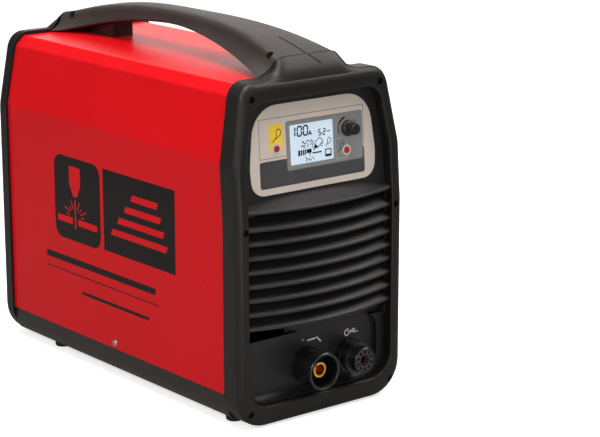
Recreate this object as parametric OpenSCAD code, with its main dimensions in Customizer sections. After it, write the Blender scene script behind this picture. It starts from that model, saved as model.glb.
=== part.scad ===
// Plasma cutter unit: a portable inverter power source for an air plasma torch.
// A folded steel cover lies between two moulded end frames, and a moulded arch
// carries the unit. The front holds a tilted control panel, a bowed louvre grille
// and a pocket with the earth and torch sockets. The rear holds the fan grille,
// main switch, air regulator, air inlet and the mains cable gland.
//
// Millimetres. +X is the unit's left seen from the front, -Y faces the user and
// +Z is up. The origin is on the ground under the middle of the overall size.
// Each module draws in case coordinates, where Y is 0 at the front lip and Z is 0 on
// a datum plane just above the ground, and case_place() moves it into that frame.
// Heights given below are heights above the datum plane.

/* [Case] */
// Width across the moulded end frames
case_w = 240; // [232:1:250]
// Height of the flat top of the end frames
case_h = 388; // [384:1:394]
// Length from the front lip to the back of the rear frame
case_l = 496; // [480:1:520]
// Radius of the two bottom corners of the end frames
foot_corner_r = 40; // [30:1:46]
// Radius of the two top corners of the end frames
top_corner_r = 22; // [16:1:26]
// Height at which the sides bend inwards
waist_z = 298; // [285:1:310]
// Inward run of each side between the bend and the top
waist_in = 17.5; // [12:0.5:20]
// Thickness of the cover's steel sheet
sheet_t = 1.2; // [0.8:0.1:1.5]
// Height of the lower edge of the cover
cover_low_z = 35; // [30:1:40]

/* [Front frame] */
// Depth of the front frame's skirt
front_d = 28; // [26:1:32]
// Depth of the rear frame's skirt
rear_d = 20; // [18:1:24]
// Width of the frame lip at the sides
lip_side = 16; // [15:0.5:18]
// Width of the frame lip along the top
lip_top = 22; // [20:0.5:24]
// Width of the frame lip along the bottom
lip_low = 23.5; // [21:0.5:25]
// Angle by which the upper front leans back
lean_deg = 4.1; // [3:0.1:5]
// Height at which the lean starts
lean_z = 233; // [225:1:240]

/* [Grille] */
// Number of louvre blades below the brow
blades = 8; // [6:1:8]
// Distance from one blade to the next
blade_pitch = 16.15; // [15:0.05:16.4]
// Radius of the bow of the blades, seen from above
bow_r = 310; // [290:5:360]
// Height of the lower edge of the brow over the blades
brow_z = 244.5; // [242:0.5:246]

/* [Control panel] */
// Width of the control panel plate at its lower end
panel_w = 181; // [170:1:184]
// Travel of the two push-buttons
button_travel = 1; // [0.6:0.1:1.2]
// Diameter of the encoder knob's skirt
knob_d = 18; // [16:0.5:20]

/* [Sockets] */
// Outer diameter of the earth socket's collar
earth_d = 44; // [42:0.5:45]
// Bore of the earth socket's brass insert
earth_bore = 13; // [9:0.5:14]
// Outer diameter of the torch socket's threaded nose
torch_d = 30.6; // [28:0.2:31]
// Distance by which the sockets stand out in front of the lip
socket_out = 15; // [10:1:20]

/* [Handle] */
// Height of the top of the handle
handle_top = 434.5; // [430:0.5:440]
// Width of the handle in the middle of its arch
grip_w = 40; // [36:1:44]
// Thickness of the grip in the middle of its arch
grip_t = 18; // [16:0.5:20]

/* [Rear] */
// Side length of the fan's square housing
fan_size = 119; // [116:1:120]
// Bore of the mains cable gland
gland_bore = 16; // [12:0.5:18]
// Diameter of the pressure regulator's knob
reg_knob_d = 30; // [26:1:34]

/* [Hidden] */

half_w = case_w / 2;
lift = 3.5;                         // height of the datum plane above the ground
case_low = 1 - lift;                // underside of the end frames
fit = 0.1;                          // clearance between pieces that lie together
front_reach = socket_out;           // what stands in front of the lip
inner_depth = 13;                   // depth of the frames' wall inside the opening
gland_out = 30;                     // length of the cable gland outside the rear plate
rear_reach = gland_out - inner_depth - fit;     // what stands behind the rear frame
case_mid_y = (case_l + rear_reach - front_reach) / 2;

// ---- Helpers -------------------------------------------------------------------

// Unit vector along v
function unit(v) = v / norm(v);

// Points of the arc of radius r that rounds corner p between neighbours a and b
function turn_points(a, p, b, r, n) =
    let(u = unit(a - p), v = unit(b - p),
        half = acos(u * v) / 2,
        c = p + unit(u + v) * r / sin(half),
        s = p + u * r / tan(half) - c,
        e = p + v * r / tan(half) - c,
        a0 = atan2(s[1], s[0]),
        raw = atan2(e[1], e[0]) - a0,
        sweep = raw > 180 ? raw - 360 : raw < -180 ? raw + 360 : raw)
    [for (i = [0:n]) c + r * [cos(a0 + sweep * i / n), sin(a0 + sweep * i / n)]];

// Closed outline through corners [x, y, radius]; radius 0 keeps a corner sharp
function soft(pts, n = 6) =
    let(k = len(pts))
    [for (i = [0:k - 1])
        let(p = pts[i], a = pts[(i + k - 1) % k], b = pts[(i + 1) % k])
        each p[2] > 0
            ? turn_points([a[0], a[1]], [p[0], p[1]], [b[0], b[1]], p[2], n)
            : [[p[0], p[1]]]];

// Corners of the right half, followed by their mirror images
function both_sides(half) =
    concat(half, [for (i = [len(half) - 1:-1:0]) [-half[i][0], half[i][1], half[i][2]]]);

// Rectangle w by h about the origin with rounded corners
function round_rect(w, h, r) =
    soft([[w / 2, -h / 2, r], [w / 2, h / 2, r], [-w / 2, h / 2, r], [-w / 2, -h / 2, r]]);

// Case coordinates, Y = 0 at the front lip, moved to the unit's own frame
module case_place() translate([0, -case_mid_y, lift]) children();

// Extrudes a figure drawn in X and Z along +Y from y to y + d
module along_y(y, d) translate([0, y + d, 0]) rotate([90, 0, 0]) linear_extrude(d) children();

// Extrudes a figure drawn in Y and Z along X, w wide about the middle plane
module along_x(w) rotate([90, 0, 90]) linear_extrude(w, center = true) children();

// Round solid about an axis along Y; the profile holds [radius, y] points
module turned_y(x, z, profile) translate([x, 0, z]) rotate([-90, 0, 0])
    rotate_extrude($fn = 64) polygon(profile);

// Rod of radius r along Y
module rod_y(x, y, z, r, d) translate([x, y, z]) rotate([-90, 0, 0]) cylinder(r = r, h = d, $fn = 48);

// Block given by its lowest corner and its size
module block(at, size) translate(at) cube(size);

// Solid skinned over rings of points; loop joins the last ring to the first
module skin(rings, loop = false) {
    m = len(rings[0]);
    k = len(rings);
    sides = [for (j = [0:loop ? k - 1 : k - 2], i = [0:m - 1])
        let(a = j * m + i, b = j * m + (i + 1) % m,
            c = ((j + 1) % k) * m + (i + 1) % m, d = ((j + 1) % k) * m + i)
        each [[a, b, c], [a, c, d]]];
    caps = loop ? [] : [[for (i = [m - 1:-1:0]) i], [for (i = [0:m - 1]) (k - 1) * m + i]];
    polyhedron(points = [for (r = rings) each r], faces = concat(sides, caps), convexity = 10);
}

// ---- End frames ----------------------------------------------------------------

// Outer outline of the end frames in X and Z
function case_edge(n = 8) = soft(both_sides([
    [half_w, case_low, foot_corner_r],
    [half_w, waist_z, 60],
    [half_w - waist_in, case_h, top_corner_r]]), n);

// Outline of the opening inside the lip
lip_side_top = lip_side + waist_in * (case_h - lip_top - waist_z) / (case_h - waist_z);
function lip_edge(n = 8) = soft(both_sides([
    [half_w - lip_side, case_low + lip_low, 28],
    [half_w - lip_side, waist_z, 60],
    [half_w - lip_side_top, case_h - lip_top, 22]]), n);

// Outline a fraction s of the way from the outer edge to the opening
function between_edges(s, n = 8) =
    let(a = case_edge(n), b = lip_edge(n)) [for (i = [0:len(a) - 1]) a[i] + (b[i] - a[i]) * s];

// Backward lean of the front at height z
function lean(z) = max(0, z - lean_z) * tan(lean_deg);

// Channel section of a frame: [fraction across the lip, depth behind its face]
lip_round = 8;                      // rounding of the outer edge
lip_turn = 6;                       // rounding towards the opening
function channel(d) = concat(
    [[0, d]],
    [for (a = [0:18:90]) [0.5 * (1 - cos(a)), lip_round * (1 - sin(a))]],
    [for (a = [22.5:22.5:90]) [0.5 + 0.5 * sin(a), lip_turn * (1 - cos(a))]],
    [[1, inner_depth], [0.83, inner_depth], [0.83, 8], [0.76, 6], [0.44, 6],
     [0.2, 10.5], [0.2, d]]);

// Front frame's channel: its face and inner wall follow the lean, which starts at a
// ring of its own
module front_channel() {
    outer = soft(both_sides([[half_w, case_low, foot_corner_r], [half_w, lean_z, 0],
        [half_w, waist_z, 60], [half_w - waist_in, case_h, top_corner_r]]), 8);
    inner = soft(both_sides([[half_w - lip_side, case_low + lip_low, 28],
        [half_w - lip_side, lean_z, 0], [half_w - lip_side, waist_z, 60],
        [half_w - lip_side_top, case_h - lip_top, 22]]), 8);
    section = channel(front_d);
    skin([for (i = [0:len(outer) - 1]) [for (q = section)
        let(p = outer[i] + (inner[i] - outer[i]) * q[0],
            y = q[1] > inner_depth ? q[1] : q[1] + lean(p[1]))
        [p[0], y, p[1]]]], loop = true);
}

// Rear frame's channel, upright, with its face to the back
module rear_channel() {
    outer = case_edge();
    inner = lip_edge();
    section = channel(rear_d);
    skin([for (i = [len(outer) - 1:-1:0]) [for (q = section)
        let(p = outer[i] + (inner[i] - outer[i]) * q[0])
        [p[0], case_l - q[1], p[1]]]], loop = true);
}

// Screws that hold an end frame, in X and Z
frame_screw_at = [for (s = [-1, 1], p = [[103.3, 16], [109.3, 226.4], [92.2, 370.8]])
    [s * p[0], p[1]]];
screw_head_r = 3.3;
screw_recess_r = 3.8;
screw_shank_r = 1.9;
boss_r = 5;
boss_y = 5.3;                       // the bosses start this far behind the lip's face
function front_screw_y(p) = 2.2 + lean(p[1]);

module front_frame() color("#35322f") case_place() difference() {
    union() {
        front_channel();
        horn(front_d + 0.25, 17.6, 4);
        for (p = frame_screw_at)
            rod_y(p[0], boss_y + lean(p[1]), p[1], boss_r, 25.5 - boss_y - lean(p[1]));
    }
    for (p = frame_screw_at) {
        rod_y(p[0], -2, p[1], screw_recess_r, 6.5 + lean(p[1]));
        rod_y(p[0], -2, p[1], 2, 40);
    }
}

module rear_frame() color("#35322f") case_place() difference() {
    union() {
        rear_channel();
        horn(case_l - rear_d - 0.25, case_l - 8.5, 14);
        for (p = frame_screw_at) rod_y(p[0], case_l - 18, p[1], boss_r, 18 - boss_y);
    }
    for (p = frame_screw_at) {
        rod_y(p[0], case_l - 4.5, p[1], screw_recess_r, 8);
        rod_y(p[0], case_l - 40, p[1], 2, 60);
    }
}

// Notches for the bosses of the screws half way up, which reach behind the plates
module boss_notches(y, d) for (s = [-1, 1])
    rod_y(s * frame_screw_at[4][0], y, frame_screw_at[4][1], boss_r + 0.15, d);

// Pan-head screw whose head faces -Y at y
module frame_screw(x, y, z, h) union() {
    difference() {
        turned_y(x, z, [[0, y], [2.2, y], [3, y + 0.6], [screw_head_r, y + 2], [0, y + 2]]);
        for (a = [0, 90]) translate([x, y, z]) rotate([0, a, 0]) cube([3.6, 2, 0.9], center = true);
    }
    rod_y(x, y + 1.9, z, screw_shank_r, h);
}

module front_screws() color("#1c1c1e") case_place()
    for (p = frame_screw_at) frame_screw(p[0], front_screw_y(p) + 0.25, p[1], 16);

module rear_screws() color("#1c1c1e") case_place()
    for (p = frame_screw_at) translate([0, case_l, 0]) mirror([0, 1, 0])
        frame_screw(p[0], 2.45, p[1], 16);

// ---- Handle --------------------------------------------------------------------

crest_y = 260;                      // where the arch is highest
front_run = crest_y - front_d;
rear_run = case_l - rear_d + 1 - crest_y;
cover_top_z = 383.5;
// Distance from the crest as a fraction of the arch's front or rear run
function run(y) = y < crest_y ? (crest_y - y) / front_run : (y - crest_y) / rear_run;
// Height of the crown of the handle
function crown(y) = handle_top - (y < crest_y ? 25.5 * pow(run(y), 2.9) : 27.5 * pow(run(y), 2.2));
// Height of the lower edge of the handle's flanks
function skirt(y) = max(cover_top_z + 1.6, handle_top - grip_t + 2
    - (y < crest_y ? 33.5 * pow(run(y), 1.6) : 35.5 * pow(run(y), 1.8)));
// Half-width at the skirt and at the shoulder of the flanks
function skirt_half(y) = grip_w / 2 + (y < crest_y ? 45 * pow(run(y), 1.7) : 32 * pow(run(y), 5));
function shoulder_half(y) =
    grip_w / 2 - 1.5 + (y < crest_y ? 26 * pow(run(y), 1.7) : 18 * pow(run(y), 5));

// Half section of a moulding from its underside to its crown, as [x, z] points:
// a flank that sweeps out to the skirt, a rounded shoulder and a slight crown
shoulder_r = 6.5;
function flank(top, low, under, half_top, half_low) = concat(
    [[half_low - 4, under], [half_low - 0.8, under + 0.5 * (low - under)]],
    [for (t = [0:0.25:1]) let(z = low + (top - shoulder_r - 1.2 - low) * t)
        [half_top + (half_low - half_top) * pow(1 - t, 2), z]],
    [for (a = [22.5:22.5:90])
        [half_top - 1.4 * shoulder_r * (1 - cos(a)), top - 1.2 - shoulder_r * (1 - sin(a))]],
    [[half_top * 0.35, top - 0.25]]);
function mould_ring(y, half) = concat([for (p = half) [p[0], y, p[1]]],
    [for (i = [len(half) - 1:-1:0]) [-half[i][0], y, half[i][1]]]);
function handle_ring(y) = mould_ring(y, flank(crown(y), skirt(y),
    max(cover_top_z + 0.3, skirt(y) - 2.5), shoulder_half(y), skirt_half(y)));

// Fairing on an end frame that carries the handle's section from y_seam down to
// the flat top of the frame at y_end, widening by flare on each side
module horn(y_seam, y_end, flare) {
    steps = 8;
    under = case_h - 3.2;
    rings = [for (i = [0:steps])
        let(t = i / steps, y = y_seam + (y_end - y_seam) * t,
            sink = 0.24 * t + 2.22 * t * t - 1.46 * t * t * t,
            top = crown(y_seam) + (case_h - 1.2 - crown(y_seam)) * sink,
            wide = shoulder_half(y_seam) + (flare + 2) * sink,
            foot = skirt_half(y_seam) + flare * sink)
        mould_ring(y, horn_half(top, under, wide, foot))];
    skin(y_end > y_seam ? rings : [for (i = [steps:-1:0]) rings[i]]);
}
// Half section of a horn: as flank(), scaled to the height that is left
function horn_half(top, under, wide, foot) =
    let(base = case_h - 1.4, r = min(shoulder_r, 0.45 * (top - base)))
    concat([[foot - 0.5, under], [foot, base]],
        [for (t = [0.2:0.2:1]) [wide + (foot - wide) * pow(1 - t, 2), base + (top - r - base) * t]],
        [for (a = [30:30:90]) [wide - 1.4 * r * (1 - cos(a)), top - r * (1 - sin(a))]],
        [[wide * 0.35, top]]);

handle_screw_at = [[-40, 46, 410.5], [40, 46, 410.5], [-29, 459, 406.5], [29, 459, 406.5]];
seam_gap = 0.6;
module handle() color("#45423f") case_place() difference() {
    y0 = front_d + seam_gap;
    y1 = case_l - rear_d - seam_gap;
    n = 34;
    skin([for (i = [0:n]) handle_ring(y0 + (y1 - y0) * (i / n))]);
    for (p = handle_screw_at) translate(p) rotate([0, 45 * sign(p[0]), 0]) {
        translate([0, 0, -9]) flat_rod(4.8, 20);
        translate([0, 0, -16]) flat_rod(2.4, 20);
    }
}
// Rod with flat sides, which cuts a faceted wall cleanly
module flat_rod(r, h) linear_extrude(h) polygon([for (a = [0:15:345]) r * [cos(a), sin(a)]]);

// Countersunk screws at the ends of the handle
module handle_screws() color("#1c1c1e") case_place()
    for (p = handle_screw_at) translate(p) rotate([0, 45 * sign(p[0]), 0]) {
        difference() {
            translate([0, 0, -8.9]) cylinder(r = 4.2, h = 2.6, $fn = 40);
            translate([0, 0, -6]) cylinder(r = 2, h = 3, center = true, $fn = 6);
        }
        translate([0, 0, -15]) cylinder(r = 2.2, h = 6.2, $fn = 32);
    }

// Hollow block that stands on the cover under the rear of the handle
support_y = 389;
module handle_support() color("#2b2a29") case_place() difference() {
    intersection() {
        along_x(29) polygon(concat(
            [[support_y, cover_top_z + 0.05], [support_y + 66, cover_top_z + 0.05]],
            [for (y = [support_y + 66:-11:support_y]) [y, skirt(y) - 2.6]]));
        block([-20, support_y, 380], [40, 90, 40]);
    }
    block([-11.5, support_y + 3, 380], [23, 38, 11]);
}

// ---- Front grille --------------------------------------------------------------

panel_t = 3;                        // wall of the grille moulding
plate_y = inner_depth + fit;        // front of the grille's plate below the lean
// Front of the tilted plate at height z
function plate_front(z) = plate_y + lean(z);
pocket_y = 19.5;                    // floor of the socket pocket
pocket_top = 96;                    // lower edge of the louvre window
window_half = 101;                  // half-width of the louvre window
bow_mid_y = -socket_out;            // furthest point of the bow
bow_axis_y = bow_mid_y + bow_r;

// Outline of the socket pocket: a wide elliptical sweep at its upper left, seen from
// the front, and smaller round turns at the other corners
function pocket_edge(grow = 0) = soft(concat(
    [[93 + grow, 21.5 - grow, 30 + grow], [93 + grow, pocket_top + 1.5 + grow, 20 + grow],
     [-10, pocket_top + 1.5 + grow, 0]],
    [for (t = [9:9:90]) [-28 - (66 + grow) * sin(t), 45.5 + (48 + grow) * cos(t), 0]],
    [[-94 - grow, 21.5 - grow, 22 + grow]]), 8);

// One louvre blade: a sloping slat whose nose follows the bow
blade_nose = 2.4;
function slat(deep, rise) = [[0.25, 0.5], [0, 1.4], [0.25, blade_nose], [1.1, 3.4],
    [deep * 0.45, 3.4 + rise * 0.38], [deep, 3.4 + rise], [deep + 1.2, 1.2 + rise],
    [deep * 0.5, rise * 0.38], [2.8, 0.5], [1.1, 0]];
// A slat's section [depth, height] turned about the bow's axis
module bowed(z, section) translate([0, bow_axis_y, z]) rotate([0, 0, -110])
    rotate_extrude(angle = 40, $fn = 180)
        polygon([for (q = section) [bow_r - q[0], q[1]]]);

module grille_plate() difference() {
    union() {
        intersection() {
            along_y(0, 40) polygon(between_edges(0.86));
            along_x(case_w) polygon([[plate_y, case_low + lip_low - 4], [plate_y, lean_z],
                [plate_front(380), 380], [plate_front(380) + panel_t, 380],
                [plate_y + panel_t, lean_z], [plate_y + panel_t, case_low + lip_low - 4]]);
        }
        // cup round the sockets
        intersection() {
            along_y(plate_y + 0.5, pocket_y + panel_t - plate_y - 0.5) polygon(pocket_edge(2.6));
            block([-110, 0, 10], [220, 40, pocket_top - 10]);
        }
    }
    block([-window_half, 0, pocket_top - 1], [2 * window_half, 60, lean_z + 7 - pocket_top]);
    along_y(0, pocket_y) polygon(pocket_edge());
    rod_y(earth_x, 0, socket_z, earth_thread_r + fit, 60);
    rod_y(torch_x, 0, socket_z, torch_thread_r + fit, 60);
    panel_cutout();
    boss_notches(5, 40);
}

module front_grille() color("#383534") case_place() {
    grille_plate();
    // side walls that carry the ends of the blades
    for (s = [-1, 1]) block([s > 0 ? window_half : -window_half - 2.8, 10, pocket_top - 2],
        [2.8, 22, lean_z + 10 - pocket_top]);
    // blades, and the brow above them
    intersection() {
        union() {
            for (i = [1:blades]) bowed(brow_z - 3.5 - blade_pitch * i, slat(19, 14));
            bowed(brow_z, slat(34, 11));
        }
        block([-half_w + lip_side + fit, -30, 60], [2 * (half_w - lip_side - fit), 62, 220]);
    }
    pocket_ramp();
    // tongue that carries the pocket's floor up behind the lowest blade
    block([-40, pocket_y + 0.4, pocket_top - 8], [window_half + 41, panel_t - 0.8, 20]);
    // pillars for the control board
    for (x = board_pillar_x, z = board_pillar_z)
        rod_y(x, plate_front(z) + 1, z, 3, board_y - 0.05 - plate_front(z) - 1);
}
board_y = 44;                       // front of the control board
board_pillar_x = [-79, 79];
board_pillar_z = [262, 342];

// Ramp that sweeps from the floor of the pocket down to the lip
ramp_r = 13;
ramp_z = 22.4;
module pocket_ramp() difference() {
    intersection() {
        along_y(0, pocket_y + 1) polygon(between_edges(1.02));
        along_y(0, pocket_y + 1) polygon(pocket_edge(1));
        along_x(2 * half_w) polygon(concat([[pocket_y + 1, 15], [pocket_y + 1, ramp_z + ramp_r]],
            [for (a = [0:10:80]) [pocket_y - ramp_r * (1 - cos(a)), ramp_z + ramp_r * (1 - sin(a))]],
            [[pocket_y - ramp_r * (1 - cos(80)), 15]]));
    }
    // room for the flanges of the sockets
    rod_y(earth_x, -1, socket_z, earth_d / 2 + fit, 40);
    rod_y(torch_x, -1, socket_z, torch_flange_r + fit, 40);
}

// ---- Control panel -------------------------------------------------------------

panel_low = 260;                    // lower edge of the panel plate
panel_high = 359;                   // upper edge of the panel plate
panel_plate_t = 1.2;
lcd_x = -2;                         // middle of the display
lcd_z = 311;
lcd_w = 62;
lcd_h = 45;
left_button_at = [-52.3, 310.2];
right_button_at = [48.2, 295.5];
encoder_at = [49.4, 320.3];
// Places children on the tilted plate: local X across, Y up the slope, Z outwards
module on_panel(x, z) translate([x, plate_front(z), z]) rotate([90 - lean_deg, 0, 0]) children();

// Outline of the panel plate about the middle of its height
panel_mid_z = (panel_low + panel_high) / 2;
function panel_edge(inset = 0) =
    let(h = (panel_high - panel_low) / 2 / cos(lean_deg) - inset, w = panel_w / 2 - inset)
    soft(both_sides([[w - 2, -h, 18 - inset], [w, -h * 0.35, 60], [w - 8, h, 36 - inset]]), 8);

// Opening in the grille plate behind the panel
module panel_cutout() on_panel(0, panel_mid_z) translate([0, 0, -8])
    linear_extrude(9) polygon(round_rect(150, 78, 6));

// Plate with the display window and the holes for the buttons and encoder
module control_panel() color("#beb6ae") case_place() difference() {
    on_panel(0, panel_mid_z) linear_extrude(panel_plate_t) polygon(panel_edge());
    on_panel(lcd_x, lcd_z) translate([0, 0, -1]) linear_extrude(5)
        polygon(round_rect(lcd_w + 0.4, lcd_h + 0.4, 1.5));
    for (p = [left_button_at, right_button_at])
        on_panel(p[0], p[1]) translate([0, 0, -1]) cylinder(r = 3.9, h = 5, $fn = 40);
    on_panel(encoder_at[0], encoder_at[1]) translate([0, 0, -1]) cylinder(r = 3.6, h = 5, $fn = 40);
}

module lcd_window() color("#d9eaf7", 0.9) case_place() on_panel(lcd_x, lcd_z)
    translate([0, 0, -0.6]) linear_extrude(1.9) polygon(round_rect(lcd_w, lcd_h, 1.3));

// Display module: glass in its metal frame, with a foot on the display board
module lcd_module() color("#20242a") case_place() on_panel(lcd_x, lcd_z) {
    translate([0, 0, -5.2]) linear_extrude(4.55) polygon(round_rect(lcd_w + 4, lcd_h + 5, 1));
    translate([0, 0, board_front + 0.05]) linear_extrude(-5.1 - board_front)
        polygon(round_rect(lcd_w - 6, lcd_h - 4, 1.5));
}
// Board behind the panel with the two key switches
board_front = -8.6;
module display_board() color("#1f5a36") case_place() {
    on_panel(0, 309.5) translate([0, 0, board_front - 1.6]) linear_extrude(1.6)
        polygon(round_rect(142, 70, 2));
    for (p = [left_button_at, right_button_at]) on_panel(p[0], p[1]) {
        translate([-3, -3, board_front - 0.1]) cube([6, 6, 1.9]);
        translate([0, 0, board_front + 1.7]) cylinder(r = 1.7, h = 0.85, $fn = 24);
    }
}

// Cap of a push-button with its flange behind the plate
module button_at(p) on_panel(p[0], p[1]) rotate_extrude($fn = 48)
    polygon([[0, -5], [2.2, -5], [2.2, -1.3], [4.8, -1.3], [4.8, -0.1], [3.6, -0.1], [3.6, 2.2],
        [3.3, 2.7], [2.6, 3], [0, 3.1]]);
module left_button() color("#b01822") case_place() button_at(left_button_at);
module right_button() color("#b01822") case_place() button_at(right_button_at);

// Rotary encoder: square housing behind the plate and the bush through it
module encoder_body() color("#7d8287") case_place() on_panel(encoder_at[0], encoder_at[1])
    difference() {
        union() {
            translate([0, 0, -8.5]) linear_extrude(7) square(12, center = true);
            translate([0, 0, -2]) cylinder(r = 3.5, h = 4.2, $fn = 40);
        }
        translate([0, 0, -7.5]) cylinder(r = 3.05, h = 12, $fn = 40);
    }
encoder_push = 0.5;
module encoder_shaft() color("#9aa0a6") case_place() on_panel(encoder_at[0], encoder_at[1])
    translate([0, 0, -6.8]) cylinder(r = 3, h = 21, $fn = 40);
module encoder_knob() color("#1d1b1b") case_place() on_panel(encoder_at[0], encoder_at[1])
    difference() {
        union() {
            rotate_extrude($fn = 64) polygon([[0, 3], [knob_d / 2, 3], [knob_d / 2, 5],
                [knob_d / 2 - 1, 6.4], [6.5, 7.4], [6.2, 17.8], [5.6, 18.6], [0, 18.6]]);
            for (a = [0:20:340]) rotate([0, 0, a])
                translate([6, 0, 7]) cylinder(r = 0.75, h = 10, $fn = 16);
        }
        translate([0, 0, 2]) cylinder(r = 3.05, h = 12.4, $fn = 40);
    }

// ---- Front sockets -------------------------------------------------------------

socket_z = 51;
earth_x = -8.5;
torch_x = 53.5;
earth_thread_r = 13;
torch_thread_r = 14.5;
socket_y = -socket_out;

// Collar of the earth socket: a deep insulating cup with a threaded neck
module earth_socket_body() color("#141414") case_place() difference() {
    turned_y(earth_x, socket_z, [[0, socket_y + 27], [earth_d / 2 - 3, socket_y + 27],
        [earth_d / 2 - 3.2, socket_y + 0.6], [earth_d / 2 - 2.4, socket_y], [earth_d / 2 - 0.7, socket_y],
        [earth_d / 2, socket_y + 0.8], [earth_d / 2, socket_y + 12], [earth_d / 2 - 0.6, socket_y + 13],
        [earth_d / 2 - 0.6, pocket_y], [earth_thread_r, pocket_y], [earth_thread_r, pocket_y + 16],
        [0, pocket_y + 16]]);
    rod_y(earth_x, socket_y + 20, socket_z, 9.6, 60);
}
// Brass insert of the earth socket: bore with a keyway, and a stud at the back
module earth_socket_insert() color("#d6a52a") case_place() difference() {
    turned_y(earth_x, socket_z, [[0, socket_y + 9.5], [8.9, socket_y + 9.5], [9.5, socket_y + 10.2],
        [9.5, pocket_y + 17], [4, pocket_y + 17], [4, pocket_y + 30], [0, pocket_y + 30]]);
    rod_y(earth_x, socket_y, socket_z, earth_bore / 2, 37);
    translate([earth_x, 0, socket_z]) rotate([0, -45, 0])
        block([-1.6, socket_y, earth_bore / 2 - 2], [3.2, 22, 4]);
}
module hex_nut_y(x, y, z, across, bore_r, d) difference() {
    translate([x, y, z]) rotate([-90, 0, 0]) cylinder(d = across / cos(30), h = d, $fn = 6);
    rod_y(x, y - 1, z, bore_r, d + 2);
}
module earth_socket_nut() color("#8d9299") case_place()
    hex_nut_y(earth_x, pocket_y + panel_t + 0.05, socket_z, 34, earth_thread_r + fit, 6);

// Torch socket: flange, collar and threaded nose of the shell
torch_wall = 1.8;
torch_flange_r = 19.6;
module torch_socket_body() color("#17171a") case_place() {
    r = torch_d / 2;
    face = socket_y + 2;
    w = torch_wall;
    turned_y(torch_x, socket_z, [[r - w, face + 1], [r - w + 0.5, face], [r - 0.7, face],
        [r, face + 0.8], [r, face + 13], [18.8, face + 13.4], [18.8, face + 20],
        [17.6, face + 21], [17.6, face + 23], [torch_flange_r, face + 23.6],
        [torch_flange_r, pocket_y], [torch_thread_r, pocket_y], [torch_thread_r, pocket_y + 14],
        [r - w, pocket_y + 14]]);
}
// Insulator of the torch socket with its ring of contact holes
torch_contacts = 10;
torch_tube_end = 56;
torch_tube_r = 6.4;
module torch_socket_core() color("#4a4c52") case_place() difference() {
    rod_y(torch_x, socket_y + 3, socket_z, torch_d / 2 - torch_wall - fit, 44);
    rod_y(torch_x, socket_y, socket_z, torch_tube_r + fit, 60);
    for (i = [0:torch_contacts - 1]) let(a = (i + 0.5) * 360 / torch_contacts)
        rod_y(torch_x + 10.3 * cos(a), socket_y, socket_z + 10.3 * sin(a), 1.8, 14);
}
// Copper tube that feeds both air and current
module torch_socket_tube() color("#b3622f") case_place() difference() {
    rod_y(torch_x, socket_y + 8, socket_z, torch_tube_r, torch_tube_end - socket_y - 8);
    rod_y(torch_x, socket_y, socket_z, 5.2, 30);
    rod_y(torch_x, socket_y, socket_z, 3.4, 80);
}
module torch_socket_nut() color("#8d9299") case_place()
    hex_nut_y(torch_x, pocket_y + panel_t + 0.05, socket_z, 36, torch_thread_r + fit, 5);

// ---- Cover and base ------------------------------------------------------------

cover_in = 3.3;                     // the cover lies this far inside the frames
cover_half = half_w - cover_in;
cover_y0 = 22;                      // the cover's ends slip under both frames
cover_y1 = case_l - 12;
// Outer section of the cover: upright side, inward bend, chamfered shoulder, flat top
function cover_section(in) =
    let(t = tan(11.4), w = cover_half - in)
    [[w, cover_low_z, 0], [w, waist_z + 2, 25 - in],
     [w - t * (372 - waist_z - 2), 372 - in * 0.3, 5 - in],
     [90 - in * 0.45, cover_top_z - in, 5 - in]];
module cover() color("#c4161c") case_place() difference() {
    inside_frames() along_y(cover_y0, cover_y1 - cover_y0) {
        o = cover_section(0);
        i = cover_section(sheet_t);
        polygon(soft(concat(o, [for (k = [3:-1:0]) [-o[k][0], o[k][1], o[k][2]]],
            [for (k = [0:3]) [-i[k][0], i[k][1], i[k][2]]], [for (k = [3:-1:0]) i[k]]), 5));
    }
    for (s = [-1, 1]) translate([0, cover_screw_y, cover_screw_z]) rotate([0, 90 * s, 0])
        cylinder(r = 2.2, h = 200, $fn = 32);
}
// Trims the ends of a sheet so that they lie clear inside the skirts of the frames
module inside_frames() intersection() {
    children();
    union() {
        block([-150, front_d + 0.1, -20], [300, case_l - rear_d - front_d - 0.2, 460]);
        along_y(0, 60) polygon(between_edges(0.225));
        along_y(case_l - 60, 60) polygon(between_edges(0.225));
    }
}
cover_screw_y = 248;
cover_screw_z = 42;

module cover_screws() color("#b9bcc0") case_place()
    for (s = [-1, 1]) translate([s * (cover_half + 0.05), cover_screw_y, cover_screw_z])
        rotate([0, 90 * s, 0]) {
            difference() {
                rotate_extrude($fn = 40) polygon([[0, 0], [3.9, 0], [3.6, 1.2], [2.4, 2], [0, 2.2]]);
                for (a = [0, 90]) rotate([0, 0, a]) translate([0, 0, 2]) cube([3.4, 0.8, 1.6], center = true);
            }
            translate([0, 0, -7]) cylinder(r = 1.95, h = 7.1, $fn = 32);
        }

// Folded tray: floor, rounded lower edges and sides that stand inside the cover
tray_half = cover_half - sheet_t - 0.15;
tray_low = 4.7;
tray_t = 1.5;
tray_side_z = 62;
tray_y0 = 21;
tray_y1 = case_l - 11;
module base_tray() color("#332f2d") case_place() difference() {
    inside_frames() along_y(tray_y0, tray_y1 - tray_y0) {
        half = concat(tray_bend(0), [[tray_half, tray_side_z]]);
        inner = concat(tray_bend(tray_t), [[tray_half - tray_t, tray_side_z]]);
        n = len(half);
        polygon(concat(half, [for (i = [n - 1:-1:0]) inner[i]],
            [for (i = [0:n - 1]) [-inner[i][0], inner[i][1]]],
            [for (i = [n - 1:-1:0]) [-half[i][0], half[i][1]]]));
    }
    for (s = [-1, 1]) translate([0, cover_screw_y, cover_screw_z]) rotate([0, 90 * s, 0])
        cylinder(r = 2.05, h = 200, $fn = 32);
    for (p = foot_at) translate([p[0], p[1], 0]) cylinder(r = 2.6, h = 20, $fn = 32);
    // slots that let air in under the deck
    for (y = [120:14:330]) block([-30, y, 0], [60, 6, 20]);
}
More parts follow.
